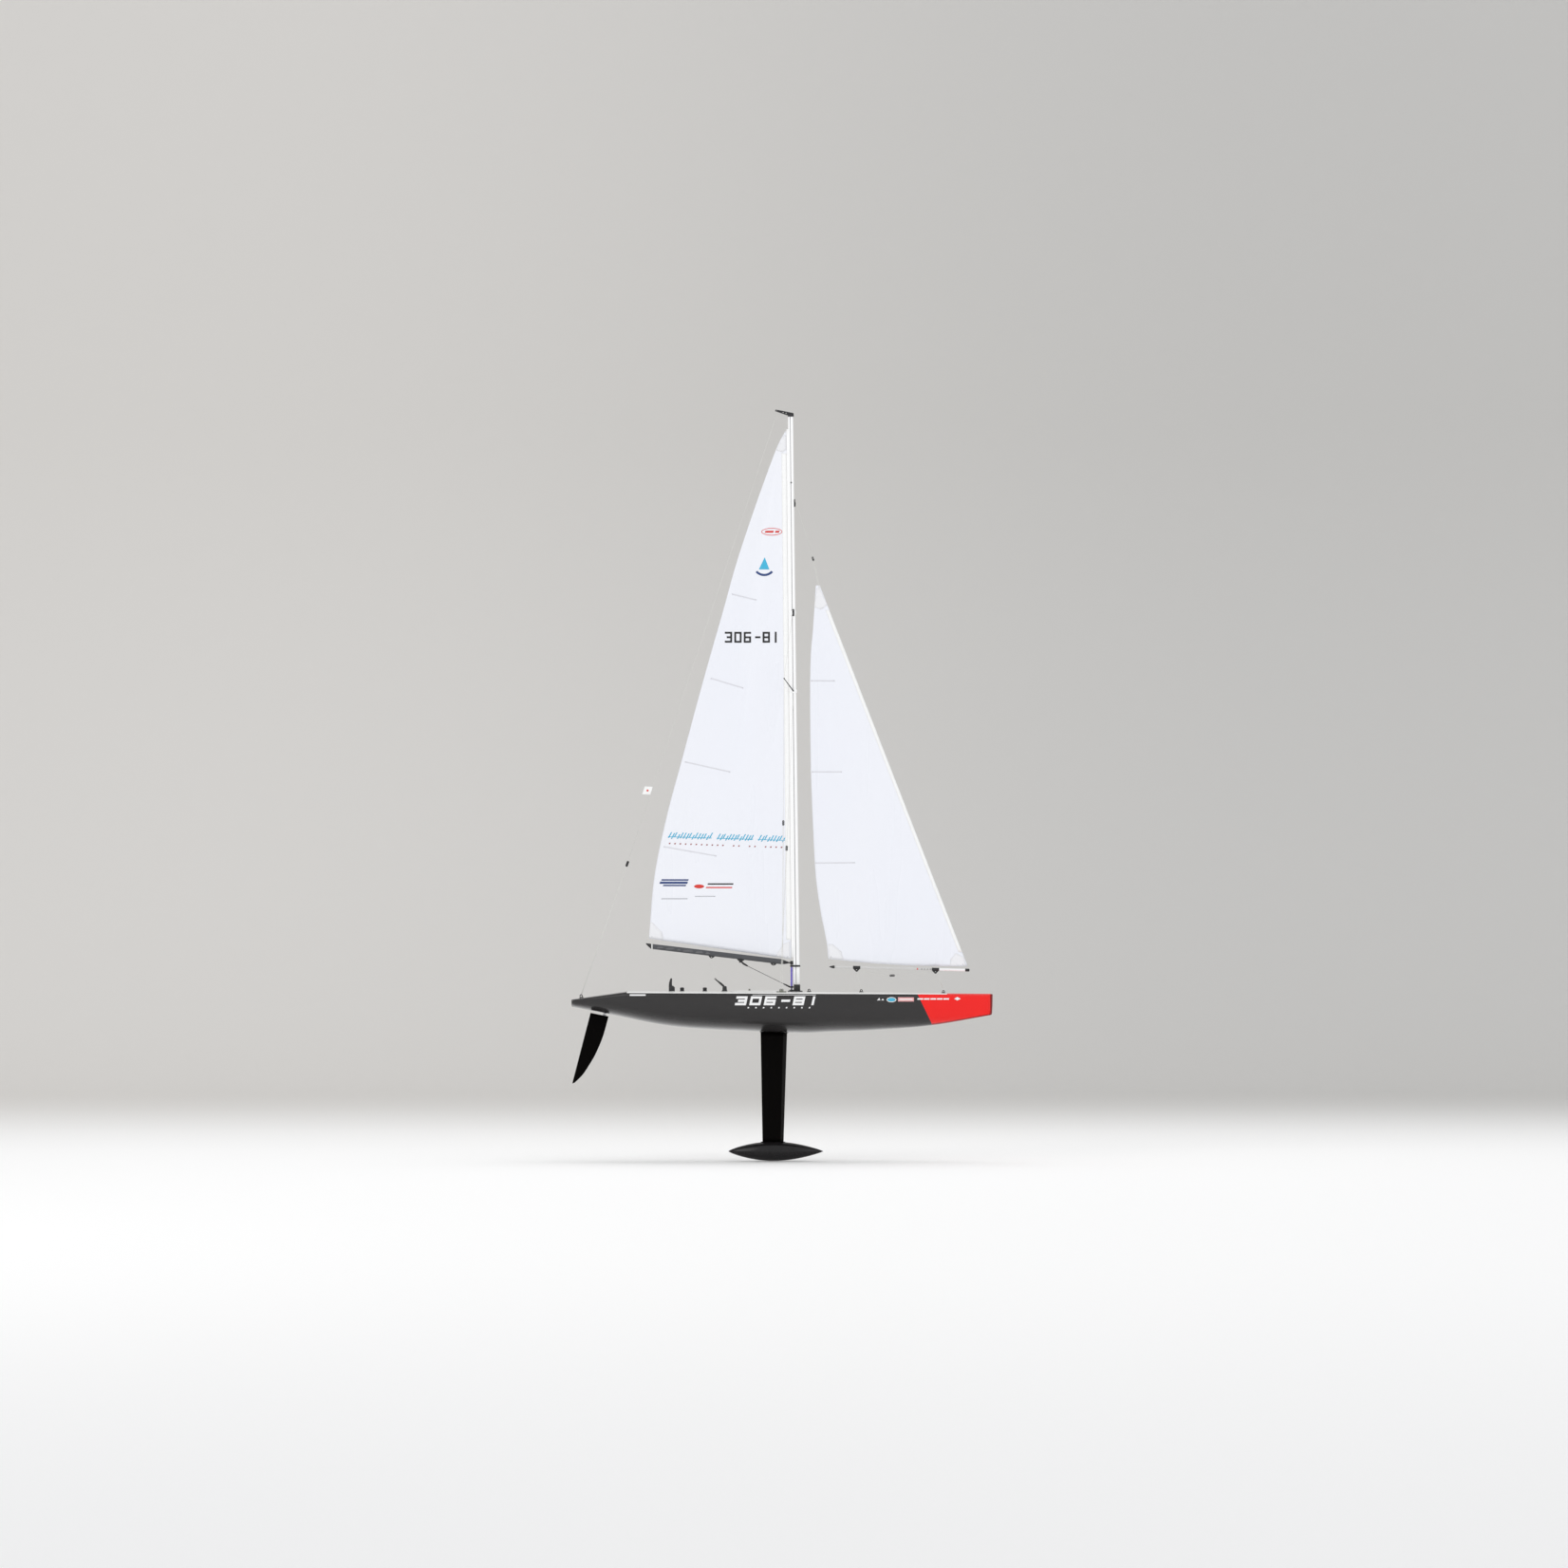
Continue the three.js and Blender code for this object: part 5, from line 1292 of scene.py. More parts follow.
    tang_z = middle("shroud_tang").z
    band = mast_band(tang_z - 5, 10, 0.8)
    tabs = []
    for side in (-1, 1):
        tab = cut_plate([rounded_rect(-2.5, 2.5, -8.5, 8.5, 2.2, 8), circle(0, 5.4, 0.9, 16)], 0.9, 0.2)
        tabs.append(standing(tab, (mast_x(tang_z) + 1.6, side * (mast_width(tang_z) + 1.6), tang_z)))
    settle("shroud_band", band, "hull", "mast_alloy", ["shroud_tang"])
    settle("shroud_plates", merged(*tabs), "hull", "black_nylon")

    root_z = SPREADER["root_z"]
    settle("spreader_root_band", mast_band(root_z - 4, 8, 1.1), "hull", "mast_alloy")
    arms = []
    for side in (-1, 1):
        root = Vector((mast_x(root_z), side * (mast_width(root_z) + 0.8), root_z))
        tip = Vector((SPREADER["tip_x"], side * SPREADER["tip_y"], SPREADER["tip_z"]))
        path = [root.lerp(tip, k / 12) for k in range(13)]
        arms.append(tube(path, [mix(1.35, 0.95, k / 12) for k in range(13)], 16))
        arms.append(turned([(0, 0), (1.7, 0.4), (1.7, 4.4), (1.2, 6), (0, 6)],
                           root, tip - root, 20, ease=0.5))
        along = (tip - root).normalized()
        arms.append(turned([(0, 0), (1.7, 0.2), (1.7, 3.2), (1.0, 3.8), (0, 3.8)],
                           tip - along * 3.0, along, 20, ease=0.5))
    settle("spreader_pair", merged(*arms), "hull", "black_nylon", ["spreaders"])


# ---------------------------------------------------------------- stays

def basis(along, facing):
    """Turns a plate's length to run along one direction and its face to look in another."""
    x = Vector(along).normalized()
    z = (Vector(facing) - x * x.dot(Vector(facing))).normalized()
    return Matrix((x, z.cross(x), z)).transposed().to_4x4()


def bowsie(at, along, facing=(0, -1, 0), length=12.5, width=5.2):
    """A line adjuster: a small plate with rounded ends and a hole at its middle and each end."""
    outline = rounded_rect(-length / 2, length / 2, -width / 2, width / 2, width * 0.42, 8)
    holes = [circle(x, 0, 0.85, 16) for x in (-length * 0.34, 0, length * 0.34)]
    mesh = cut_plate([outline] + holes, 2.0, 0.4)
    mesh.transform(Matrix.Translation(Vector(at)) @ basis(along, facing))
    return mesh


def twin_line(foot, slider, apart=0.75, radius=0.34):
    """The doubled lower part of a stay: two strands from its foot to its slider."""
    foot, slider = Vector(foot), Vector(slider)
    along = (slider - foot).normalized()
    side = along.cross(Vector((0, 1, 0))).normalized()
    strands = []
    for sign in (-1, 1):
        path = [foot, foot + along * 4 + side * sign * apart, slider - along * 6 + side * sign * apart,
                slider - along * 4]
        strands.append(tube(path, radius, 8))
    knot = turned([(0, 0), (0.9, 0.3), (1.0, 1.6), (0, 2.6)], foot + along * 1.5, along, 12, ease=0.4)
    return strands + [knot]


STAY_THIN = 0.3
SHROUD_FOOT = Vector((18, 95))      # X and Y, between the two shrouds of a side
SHROUD_SPLIT = 2.4                  # the upper shroud's foot is this far forward of it, the lower one's aft
UPPER_SLIDER_Z = 493
LOWER_SLIDER_Z = 434


def build_chainplate(word):
    lo, hi = ends(f"chainplate_{word}")
    seat, centre = lo.z, (lo.y + hi.y) / 2
    base = rounded_rect(lo.x, hi.x, -3.5, 3.5, 3.3, 8)
    pad = lying(cut_plate([base], 2.4, 0.7), (0, centre, seat + 1.2))
    ear = rounded_rect(13, 23, seat + 1, seat + 8, 2.6, 8)
    holes = [circle(SHROUD_FOOT.x + shift, seat + 5.6, 0.9, 16) for shift in (-SHROUD_SPLIT, SHROUD_SPLIT)]
    ear_plate = standing(cut_plate([ear] + holes, 2.0, 0.3), (0, centre, 0))
    settle(f"chainplate_eye_{word}", merged(pad, ear_plate), "hull", "chainplate_grey",
           [f"chainplate_{word}"])
    for x, end in ((9.6, "aft"), (26.4, "fore")):
        screw = screw_head((x, centre, seat + 2.3), radius=1.5)
        settle(f"chainplate_screw_{end}_{word}", screw, "hull", "stainless")
    return seat + 8.6


def build_shrouds():
    for sign, word in reversed(SIDES):
        foot_z = build_chainplate(word)
        tip = Vector((SPREADER["tip_x"], sign * (SPREADER["tip_y"] + 2.4), SPREADER["tip_z"]))
        tang = Vector((mast_x(TANG_Z), sign * (mast_width(TANG_Z) + 2.2), TANG_Z))
        root_z = SPREADER["root_z"]
        root = Vector((mast_x(root_z), sign * (mast_width(root_z) + 3.4), root_z - 8))
        for name, shift, height, above in (("upper", SHROUD_SPLIT, UPPER_SLIDER_Z, [tip, tang]),
                                           ("lower", -SHROUD_SPLIT, LOWER_SLIDER_Z, [root])):
            foot = Vector((SHROUD_FOOT.x + shift, sign * SHROUD_FOOT.y, foot_z - 0.6))
            slider = foot.lerp(above[0], (height - foot_z) / (above[0].z - foot_z))
            along = (above[0] - foot).normalized()
            parts = twin_line(foot, slider)
            parts.append(tube([slider + along * 4] + above, STAY_THIN, 8))
            settle(f"{name}_stay_{word}", merged(*parts), "hull", "rigging_cord", [f"{name}_shroud_{word}"])
            settle(f"{name}_stay_slider_{word}", bowsie(slider, along, (0, -sign, 0.1)), "hull",
                   "black_nylon")
            clip = tube(hook_path(foot, along), 0.45, 10)
            settle(f"{name}_stay_hook_{word}", clip, "hull", "stainless")


STERN_EYE_X = -457
BACKSTAY_SLIDER = Vector((-348.5, 0, 398))
BACKSTAY_TOP = Vector((8, 0, 1474.6))


def backstay_x(z):
    share = (z - BACKSTAY_SLIDER.z) / (BACKSTAY_TOP.z - BACKSTAY_SLIDER.z)
    return mix(BACKSTAY_SLIDER.x, BACKSTAY_TOP.x, share)


def build_backstay():
    foot = Vector((STERN_EYE_X, 0, deck_top(STERN_EYE_X) + 9.0))
    slider, top = BACKSTAY_SLIDER, BACKSTAY_TOP
    along = (slider - foot).normalized()
    upper = (top - slider).normalized()
    parts = twin_line(foot, slider, 0.8, 0.42)
    parts.append(tube([slider - along * 6, slider, slider + upper * 10], 0.45, 8))
    parts.append(tube([slider + upper * 6, top], STAY_THIN, 8))
    settle("backstay_line", merged(*parts), "hull", "rigging_cord", ["backstay"])
    slide = cut_plate([rounded_rect(-7, 7, -2.9, 2.9, 2.2, 8)], 5.2, 0.6)
    slide.transform(Matrix.Translation(slider) @ basis(along, (0, -1, 0)))
    for offset in (-0.8, 0.0, 0.8):
        hole = slider + Vector((offset, 0, 0))
        slide = carved(slide, tube([hole - along * 12, hole + along * 12], 0.75, 12))
    settle("backstay_slider", slide, "backstay_bowsie", "black_nylon", ["backstay_bowsie"])
    settle("backstay_hook", tube(hook_path(foot, along), 0.5, 10), "hull", "stainless")


FLAG = {"size": 19.0, "z": 572.0, "cells": 14, "thickness": 0.28}


def flag_wave(c, r):
    """How far the flag stands off its plane at c columns from the stay and r rows up."""
    return 0.7 * math.sin(c * 0.62 + r * 0.08) * c / FLAG["cells"]


def build_flag():
    size, height, cells = FLAG["size"], FLAG["z"], FLAG["cells"]
    half = Vector((0, FLAG["thickness"] / 2, 0))
    rings = []
    for r in range(cells + 1):
        z = height - size / 2 + size * r / cells
        line = [Vector((backstay_x(z) + 0.4 - (size + 1) * c / cells, flag_wave(c, r), z + 0.9 * c / cells))
                for c in range(cells + 1)]
        rings.append([p - half for p in line] + [p + half for p in reversed(line)])
    flag = settle("wind_flag", skin(rings), "hull", "flag_cloth", ["flag"])
    centre = backstay_x(height) - 9.6
    for side, word in SIDES:
        def on_flag(x, z, lift, side=side):
            c = clamp((centre + 10.0 - x) / (size + 1)) * cells
            r = (z - height + size / 2) / size * cells
            return Vector((x, flag_wave(c, r) + side * (0.18 + lift), z))
        dot = circle(centre, height + 0.4, 2.5, 24)
        lay_on([dot], on_flag, "ink_red", "hull", f"flag_dot_{word}", cell=2)


def hook_path(foot, along):
    """A small wire hook reaching down from a line's end into an eye."""
    size = 2.2
    foot, along = Vector(foot), Vector(along).normalized()
    side = Vector((1, 0, 0)) if abs(along.x) < 0.9 else Vector((0, 0, 1))
    side = (side - along * along.dot(side)).normalized()
    points = [foot + along * 3.0]
    for k in range(13):
        a = math.pi * (0.5 + 1.55 * k / 12)
        points.append(foot + along * (size * math.sin(a) - size * 0.4) + side * (size * 0.6 * math.cos(a)))
    return points


# ---------------------------------------------------------------- deck fittings

def loop_ring(at, normal, major, minor, sides=32, round_sides=12):
    """A plain ring."""
    turn = Vector((0, 0, 1)).rotation_difference(Vector(normal)).to_matrix()
    section = [(major + minor * math.cos(b), minor * math.sin(b)) for b in angles(round_sides)]
    rings = []
    for k in range(sides + 1):
        a = 2 * math.pi * k / sides
        rings.append([Vector(at) + turn @ Vector((out * math.cos(a), out * math.sin(a), lift))
                      for out, lift in section])
    return skin(rings, cap=False)


def deck_eye(name, x, radius, node):
    foot = turned([(0, 0), (5.5, 0), (5.5, 1.0), (3, 1.9), (1.4, 2.4), (0, 2.4)], sides=36, ease=0.4)
    ring = loop_ring((0, 0, 1.4 + radius), (0, 1, 0), radius, 0.9)
    slope = math.atan((deck_top(x + 5) - deck_top(x - 5)) / 10)
    mesh = merged(foot, ring)
    mesh.transform(Matrix.Translation((x, 0, deck_top(x) + GAP)) @ Matrix.Rotation(-slope, 4, "Y"))
    settle(name, mesh, "hull", "black_nylon", [node])


def build_fittings():
    deck_eye("stern_eye_bolt", STERN_EYE_X, 3.0, "stern_eye")
    deck_eye("fore_deck_eye_bolt", 83.5, 2.4, "fore_deck_eye")
    deck_eye("jib_sheet_eye_bolt", 207.5, 2.4, "jib_sheet_eye")
    deck_eye("jib_eye_bolt", 402.7, 2.4, "jib_eye")

    for node, name in (("deck_winch_aft", "aft_deck_winch"), ("deck_winch_fore", "fore_deck_winch")):
        spot = middle(node)
        profile = [(0, 0), (5.9, 0), (5.8, 1.0), (4.6, 2.0), (4.2, 4.4), (4.4, 5.4), (5.2, 6.6), (5.0, 8.0),
                   (3.4, 9.2), (0, 9.5)]
        drum = turned(profile, (spot.x, 0, low(node).z), sides=40, ease=0.5)
        ribs = []
        for a in angles(16):
            place = (spot.x + 4.35 * math.cos(a), 4.35 * math.sin(a), low(node).z + 3.8)
            ribs.append(rounded_box((0.9, 0.7, 2.6), place, 0.2, Matrix.Rotation(a, 4, "Z")))
        settle(name, merged(drum, *ribs), "hull", "black_nylon", [node])

    spot, base = middle("aerial_post"), low("aerial_post").z
    dome = [(7.3 * math.sin(math.pi * k / 16), 6.6 - 6.6 * math.cos(math.pi * k / 16) + 0.4)
            for k in range(7, 16)]
    ball = turned([(0, 0), (7.2, 0), (7.2, 0.8)] + dome + [(0, 13.6)], (spot.x, 0, base), sides=44)
    horn = tube([(spot.x - 2.9, 0, base + 2), (spot.x - 3.3, 0, base + 12), (spot.x - 3.0, 0, base + 20),
                 (spot.x - 1.8, 0, base + 27), (spot.x - 0.9, 0, base + 31)], [4.0, 4.0, 3.5, 2.6, 1.6], 28)
    settle("aerial_boot", merged(ball, horn), "hull", "black_nylon", ["aerial_post"])

    base = low("sheet_guide").z
    foot = turned([(0, 0), (7, 0), (7, 1.4), (5.4, 3), (4.9, 10.4), (3.9, 12.6), (0, 13)],
                  (-117, 0, base), sides=40, ease=0.5)
    arm = tube([(-117, 0, base + 9.5), (-121.5, 0, base + 14.5), (-127, 0, base + 19.2), (-133, 0, base + 24),
                (-138.2, 0, base + 28.2)], [2.2, 2.6, 2.5, 1.6, 1.4], 20)
    tip = loop_ring((-139.2, 0, 124.4), (0, 1, 0), 1.5, 0.6)
    settle("sheet_lead_post", merged(foot, arm, tip), "hull", "black_nylon", ["sheet_guide"])


# ---------------------------------------------------------------- main boom

BOOM = {"aft": (-288.0, 201.5), "fore": (18.0, 165.5), "half_height": 6.2, "half_width": 4.5}
SHEET_SADDLE_X = -148
VANG_SADDLE_X = -79
FORE_SADDLE_X = -1
BOOM_MARKS = [(-278, -262), (-257, -236), (-230, -222), (-216, -192), (-186, -168), (-162, -152)]


def boom_point(x, drop=0.0):
    (ax, az), (fx, fz) = BOOM["aft"], BOOM["fore"]
    return Vector((x, 0, mix(az, fz, (x - ax) / (fx - ax)) - drop))


def boom_ring(x, scale=1.0, up=0.0, slot=0.0):
    ring = []
    for a in angles(56):
        groove = slot if abs(math.sin(a)) > 0.985 else 0.0
        ring.append(boom_point(x) + Vector((0, (BOOM["half_width"] * scale - groove) * math.sin(a),
                                            up + BOOM["half_height"] * scale * math.cos(a))))
    return ring


def saddle(x, length, depth):
    """A fitting under the boom: a rounded bracket with a hole for the line."""
    (ax, az), (fx, fz) = BOOM["aft"], BOOM["fore"]
    lean = math.atan2(fz - az, fx - ax)
    half = length / 2
    belly = [(mix(-half, half, k / 12), -depth * math.sin(math.pi * k / 12) ** 0.8) for k in range(13)]
    outline = [(-half, 0.6)] + belly + [(half, 0.6)]
    plate = standing(cut_plate([outline, circle(0, -depth * 0.45, 1.0, 16)], 3.0, 0.4))
    seat = Matrix.Translation(boom_point(x, BOOM["half_height"] - 0.2))
    plate.transform(seat @ Matrix.Rotation(-lean, 4, "Y"))
    return plate


def build_main_boom():
    aft, fore = BOOM["aft"][0], BOOM["fore"][0]
    xs = [aft, aft + 0.5] + stations(aft + 0.5, fore - 0.5, 30)[1:] + [fore]
    scales = [0.96] + [1.0] * (len(xs) - 2) + [0.96]
    mesh = skin([boom_ring(x, s, slot=0.5) for x, s in zip(xs, scales)])
    settle("boom_spar", mesh, "main_boom", "boom_grey", ["main_boom"])
    saddles = [saddle(x, length, 5.4) for x, length in ((SHEET_SADDLE_X, 15), (VANG_SADDLE_X, 18),
                                                        (FORE_SADDLE_X, 15.5))]
    settle("boom_fittings", merged(*saddles), "main_boom", "black_nylon")
    for end, name in ((aft - 1.7, "aft"), (fore + 1.7, "fore")):
        rows = [(end - 1.5, 0.97), (end - 1.1, 1.02), (end + 1.1, 1.02), (end + 1.5, 0.97)]
        look = "white_moulding" if name == "aft" else "black_nylon"
        settle(f"boom_plug_{name}", skin([boom_ring(x, s) for x, s in rows]), "main_boom", look)

    rows = []
    for k in range(13):
        t = k / 12
        scale = mix(1.0, 0.2, t**1.15)
        rows.append(boom_ring(aft - 3.4 - 12.4 * t, scale, BOOM["half_height"] * (1 - scale)))
    settle("boom_tip", skin(rows), "main_boom", "black_nylon", ["boom_end_cap"])
    marks = []
    for x0, x1 in BOOM_MARKS:
        z = boom_point((x0 + x1) / 2).z
        marks += [bar(x0, x1, z - 1.6, z - 0.5), bar(x0 + 2, x1 - 2, z + 0.7, z + 1.5)]
    for side, word in SIDES:
        def on_boom(x, z, lift, side=side):
            share = clamp(abs(z - boom_point(x).z) / BOOM["half_height"])
            return Vector((x, side * (BOOM["half_width"] * math.sqrt(1 - share**2) + 0.06 + lift), z))
        lay_on(marks, on_boom, "boom_mark", "main_boom", f"boom_marks_{word}", thickness=0.05)


def build_gooseneck():
    fore = BOOM["fore"][0]
    pivot = low("gooseneck_rod").x + 1.8
    z = middle("gooseneck").z
    hub = turned([(0, 0), (3.6, 0), (3.6, 8.4), (2.4, 9), (0, 9)], (pivot, 0, z - 4.5), sides=36, ease=0.5)
    fork = []
    for k in range(9):
        t = k / 8
        half = mix(5.0, 1.5, smooth(t * 1.15))
        x = mix(fore + 3.6, pivot - 1, t)
        centre = mix(boom_point(x).z, z + 0.4, t)
        fork.append([Vector((x, 2.6 * math.cos(a), centre + half * math.sin(a))) for a in angles(24)])
    pin = turned([(0, -4.4), (1.1, -4.4), (1.1, 4.4), (0, 4.4)], (pivot - 7, 0, z + 0.4), (0, 1, 0), 20,
                 ease=0.3)
    settle("boom_gooseneck", merged(hub, skin(fork), pin), "main_boom", "black_nylon", ["gooseneck"])


def build_vang():
    collar_x = middle("gooseneck_rod").x
    collar = turned([(2.75, 0), (4.2, 0), (4.4, 0.4), (4.4, 3.4), (4.2, 3.8), (2.75, 3.8), (2.75, 0)],
                    (collar_x, 0, 103.6), sides=36)
    upper = boom_point(VANG_SADDLE_X, BOOM["half_height"] + 2.6)
    strut = tube([(collar_x - 4.2, 0, 105.5), (32, 0, 108.6), (26, 0, 111.6), (20, 0, 114.6), (-60, 0, 154),
                  (-64, 0, 156)], [1.9, 1.9, 1.5, 0.6, 0.6, 0.6], 16)
    hook = tube([(-62, 0, 155), (-66, 0, 157.2), (-72, 0, 160.6), upper - Vector((-2, 0, 3)), upper],
                [1.4, 2.2, 2.4, 1.9, 1.2], 18)
    clevis = [rounded_box((7, 1.1, 7.4), upper + Vector((0, side * 2.3, -1.2)), 0.5) for side in (-1, 1)]
    pin = turned([(0, -3.3), (0.9, -3.3), (0.9, 3.3), (0, 3.3)], upper, (0, 1, 0), 16, ease=0.2)
    settle("boom_vang", merged(collar, strut, hook, pin, *clevis), "main_boom", "black_nylon", ["vang"])


def build_mainsheet():
    sheet_foot = Vector((-140.3, 0, 126.8))
    sheet_head = boom_point(SHEET_SADDLE_X, BOOM["half_height"] + 4.2)
    path = [sheet_foot.lerp(sheet_head, k / 24) for k in range(25)]
    bent_cord("main_sheet", tube(path, 0.5, 10), "mainsheet")


def bent_cord(name, mesh, node):
    """A line from the hull to a swinging boom, its place baked into the mesh and standing for its CAD node.
    """
    piece = shaded_piece(name, mesh, "rigging_cord")
    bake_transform(piece)
    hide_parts(node)


# ---------------------------------------------------------------- sails

MAINSAIL = {"tack_z": 171.5, "clew_z": 221.0, "head_z": 1430.0, "camber": 0.03}
MAIN_LEECH = [(221, -297), (369, -284), (511, -255), (650, -218), (832, -169), (998, -122), (1113, -90),
              (1223, -54), (1336, -14), (1400, 11), (1430, 27)]
JIB = {"tack": (460.0, 155.5), "clew_z": 172.6, "head": (109.0, 1061.5), "camber": 0.035, "round": 6.0}
JIB_LEECH = [(172.6, 129), (207, 126), (284, 111), (362, 100), (421, 96), (555, 90), (636, 87.5), (814, 86),
             (900, 88), (958, 93), (1061.5, 100)]
SAIL_THICKNESS = 0.36


def main_edges(v):
    luff_z = mix(MAINSAIL["tack_z"], MAINSAIL["head_z"], v)
    leech_z = mix(MAINSAIL["clew_z"], MAINSAIL["head_z"], v)
    return (luff_x(luff_z), luff_z), (curve_at(MAIN_LEECH, leech_z), leech_z)


def jib_edges(v):
    leech_z = mix(JIB["clew_z"], JIB["head"][1], v)
    luff = (mix(JIB["tack"][0], JIB["head"][0], v), mix(JIB["tack"][1], JIB["head"][1], v))
    return luff, (curve_at(JIB_LEECH, leech_z), leech_z)


MAIN_RIDGES = [[(888, -57), (763, -70), (621, -92)], [(817, 19), (701, 1), (621, -30)],
               [(380, -58), (200, -62)], [(1040, -8), (905, -24)], [(600, -190), (480, -214)]]
RIDGE_WIDTH = 5.0
RIDGE_HEIGHT = 0.9


def ridge(line, x, z):
    """The height at x and z of a narrow fold that runs down a line of (z, x) points."""
    for (za, xa), (zb, xb) in zip(line, line[1:]):
        if zb <= z <= za:
            off = (x - mix(xa, xb, (z - za) / (zb - za))) / RIDGE_WIDTH
            along = (line[0][0] - z) / (line[0][0] - line[-1][0])
            if abs(off) < 4:
                return RIDGE_HEIGHT * math.exp(-off * off) * math.sin(math.pi * along) ** 0.6
    return 0.0


def main_creases(s, v):
    """Long shallow folds running down from the mast's upper part, and a few narrow ones."""
    spread_out = smooth(1.2 - abs(v - 0.5) * 1.5)
    folds = 1.2 * math.sin(8.5 * s + 2.6 * v) + 0.7 * math.sin(17 * s - 5 * v + 0.8)
    near_luff = 0.5 * math.exp(-s * 7) * math.sin(46 * v)
    (lx, lz), (tx, tz) = main_edges(v)
    x, z = mix(lx, tx, s), mix(lz, tz, s)
    narrow = sum(ridge(line, x, z) for line in MAIN_RIDGES)
    calm = smooth(v * 9) * smooth((1 - v) * 7)
    return ((folds * s * (1 - s) * 3.2 + near_luff * smooth(s * 9)) * spread_out + narrow) * calm


def jib_creases(s, v):
    folds = 0.9 * math.sin(9 * s + 2.0 * v + 1.0) + 0.5 * math.sin(19 * s - 3 * v)
    return folds * s * (1 - s) * 3.0 * smooth(1.1 - v) * smooth(v * 9)


SAILS = {
    "main": {"edges": main_edges, "camber": MAINSAIL["camber"], "round": 0.0, "creases": main_creases},
    "jib": {"edges": jib_edges, "camber": JIB["camber"], "round": JIB["round"], "creases": jib_creases},
}


def sail_point(sail, s, v):
    """The middle of the cloth at s, 0 luff to 1 leech, and v, 0 foot to 1 head."""
    (lx, lz), (tx, tz) = sail["edges"](v)
    chord = math.hypot(tx - lx, tz - lz)
    belly = 4 * s * (1 - s)
    y = sail["camber"] * chord * belly + sail["creases"](s, v)
    return Vector((mix(lx, tx, s), y, mix(lz, tz, s) - sail["round"] * belly * (1 - v) ** 8))


def sail_spot(sail, x, z):
    """The s and v of a place on the sail."""
    foot, head = sail_point(sail, 0.5, 0.0).z, sail_point(sail, 0.5, 1.0).z
    v = clamp((z - foot) / (head - foot))
    for _ in range(24):
        (lx, _), (tx, _) = sail["edges"](v)
        s = clamp((x - lx) / (tx - lx), 0.0, 1.0)
        miss = z - sail_point(sail, s, v).z
        v = clamp(v + miss / (head - foot), 0.0, 1.0)
    return s, v


def on_sail(sail, side, extra=0.0):
    def place(x, z, lift):
        s, v = sail_spot(sail, x, z)
        return Vector((x, sail_point(sail, s, v).y + side * (SAIL_THICKNESS / 2 + 0.06 + extra + lift), z))
    return place


def sail_mesh(sail, rows, columns):
    rings = []
    for r in range(rows + 1):
        line = [sail_point(sail, c / columns, r / rows) for c in range(columns + 1)]
        half = Vector((0, SAIL_THICKNESS / 2, 0))
        rings.append([p - half for p in line] + [p + half for p in reversed(line)])
    return skin(rings)


def flat_area(sail):
    """The cloth's area in square metres, from its rows."""
    rows = 60
    total = 0.0
    for r in range(rows):
        (ax, az), (bx, bz) = sail["edges"](r / rows)
        (cx, cz), (dx, dz) = sail["edges"]((r + 1) / rows)
        ring = [(ax, az), (bx, bz), (dx, dz), (cx, cz)]
        total += abs(sum(p[0] * q[1] - q[0] * p[1] for p, q in zip(ring, ring[1:] + ring[:1]))) / 2
    return total * MM * MM


def luff_band(sail, first, last, width, count):
    """Four-sided outlines for a band along the luff, width wide, between two heights v."""
    quads = []
    for k in range(count):
        cells = []
        for v in (mix(first, last, k / count), mix(first, last, (k + 1) / count)):
            (lx, lz), (tx, tz) = sail["edges"](v)
            chord = math.hypot(tx - lx, tz - lz)
            reach = min(width / chord, 1.0)
            cells.append([(lx, lz), (mix(lx, tx, reach), mix(lz, tz, reach))])
        (a, b), (d, c) = cells
        quads.append([a, b, c, d])
    return quads


def batten(x0, z0, x1, z1):
    """A straight strip with square ends."""
    half = 1.5
    along = Vector((x1 - x0, z1 - z0)).normalized()
    across = Vector((-along.y, along.x)) * half
    return [(x0 + across.x, z0 + across.y), (x1 + across.x, z1 + across.y), (x1 - across.x, z1 - across.y),
            (x0 - across.x, z0 - across.y)]


STROKE_PITCH = 6.6
LINE_PIECES = 24


def pen_strokes(x0, z0, x1, z1, height):
    """Slanted strokes of uneven height, as a plain pattern."""
    pitch = STROKE_PITCH
    count = int((x1 - x0) / pitch)
    shapes = []
    for k in range(count):
        t = k / count
        x, z = mix(x0, x1, t), mix(z0, z1, t)
        tall = height * (0.42 + 0.30 * abs(math.sin(1.9 * k)) + 0.28 * (1 if k % 5 == 0 else 0))
        base = z - height * 0.22 * abs(math.sin(1.3 * k + 0.5))
        shapes.append(bar(x, x + pitch * 0.42, base, base + tall, tall * 0.55))
    return shapes


def fine_line(x0, z0, x1, z1):
    """A line 1.4 mm wide, in short pieces that follow the cloth."""
    pieces = []
    for k in range(LINE_PIECES):
        a, b = k / LINE_PIECES, (k + 1) / LINE_PIECES
        (xa, za), (xb, zb) = (mix(x0, x1, a), mix(z0, z1, a)), (mix(x0, x1, b), mix(z0, z1, b))
        pieces.append([(xa, za - 0.2), (xb, zb - 0.2), (xb, zb + 1.2), (xa, za + 1.2)])
    return pieces


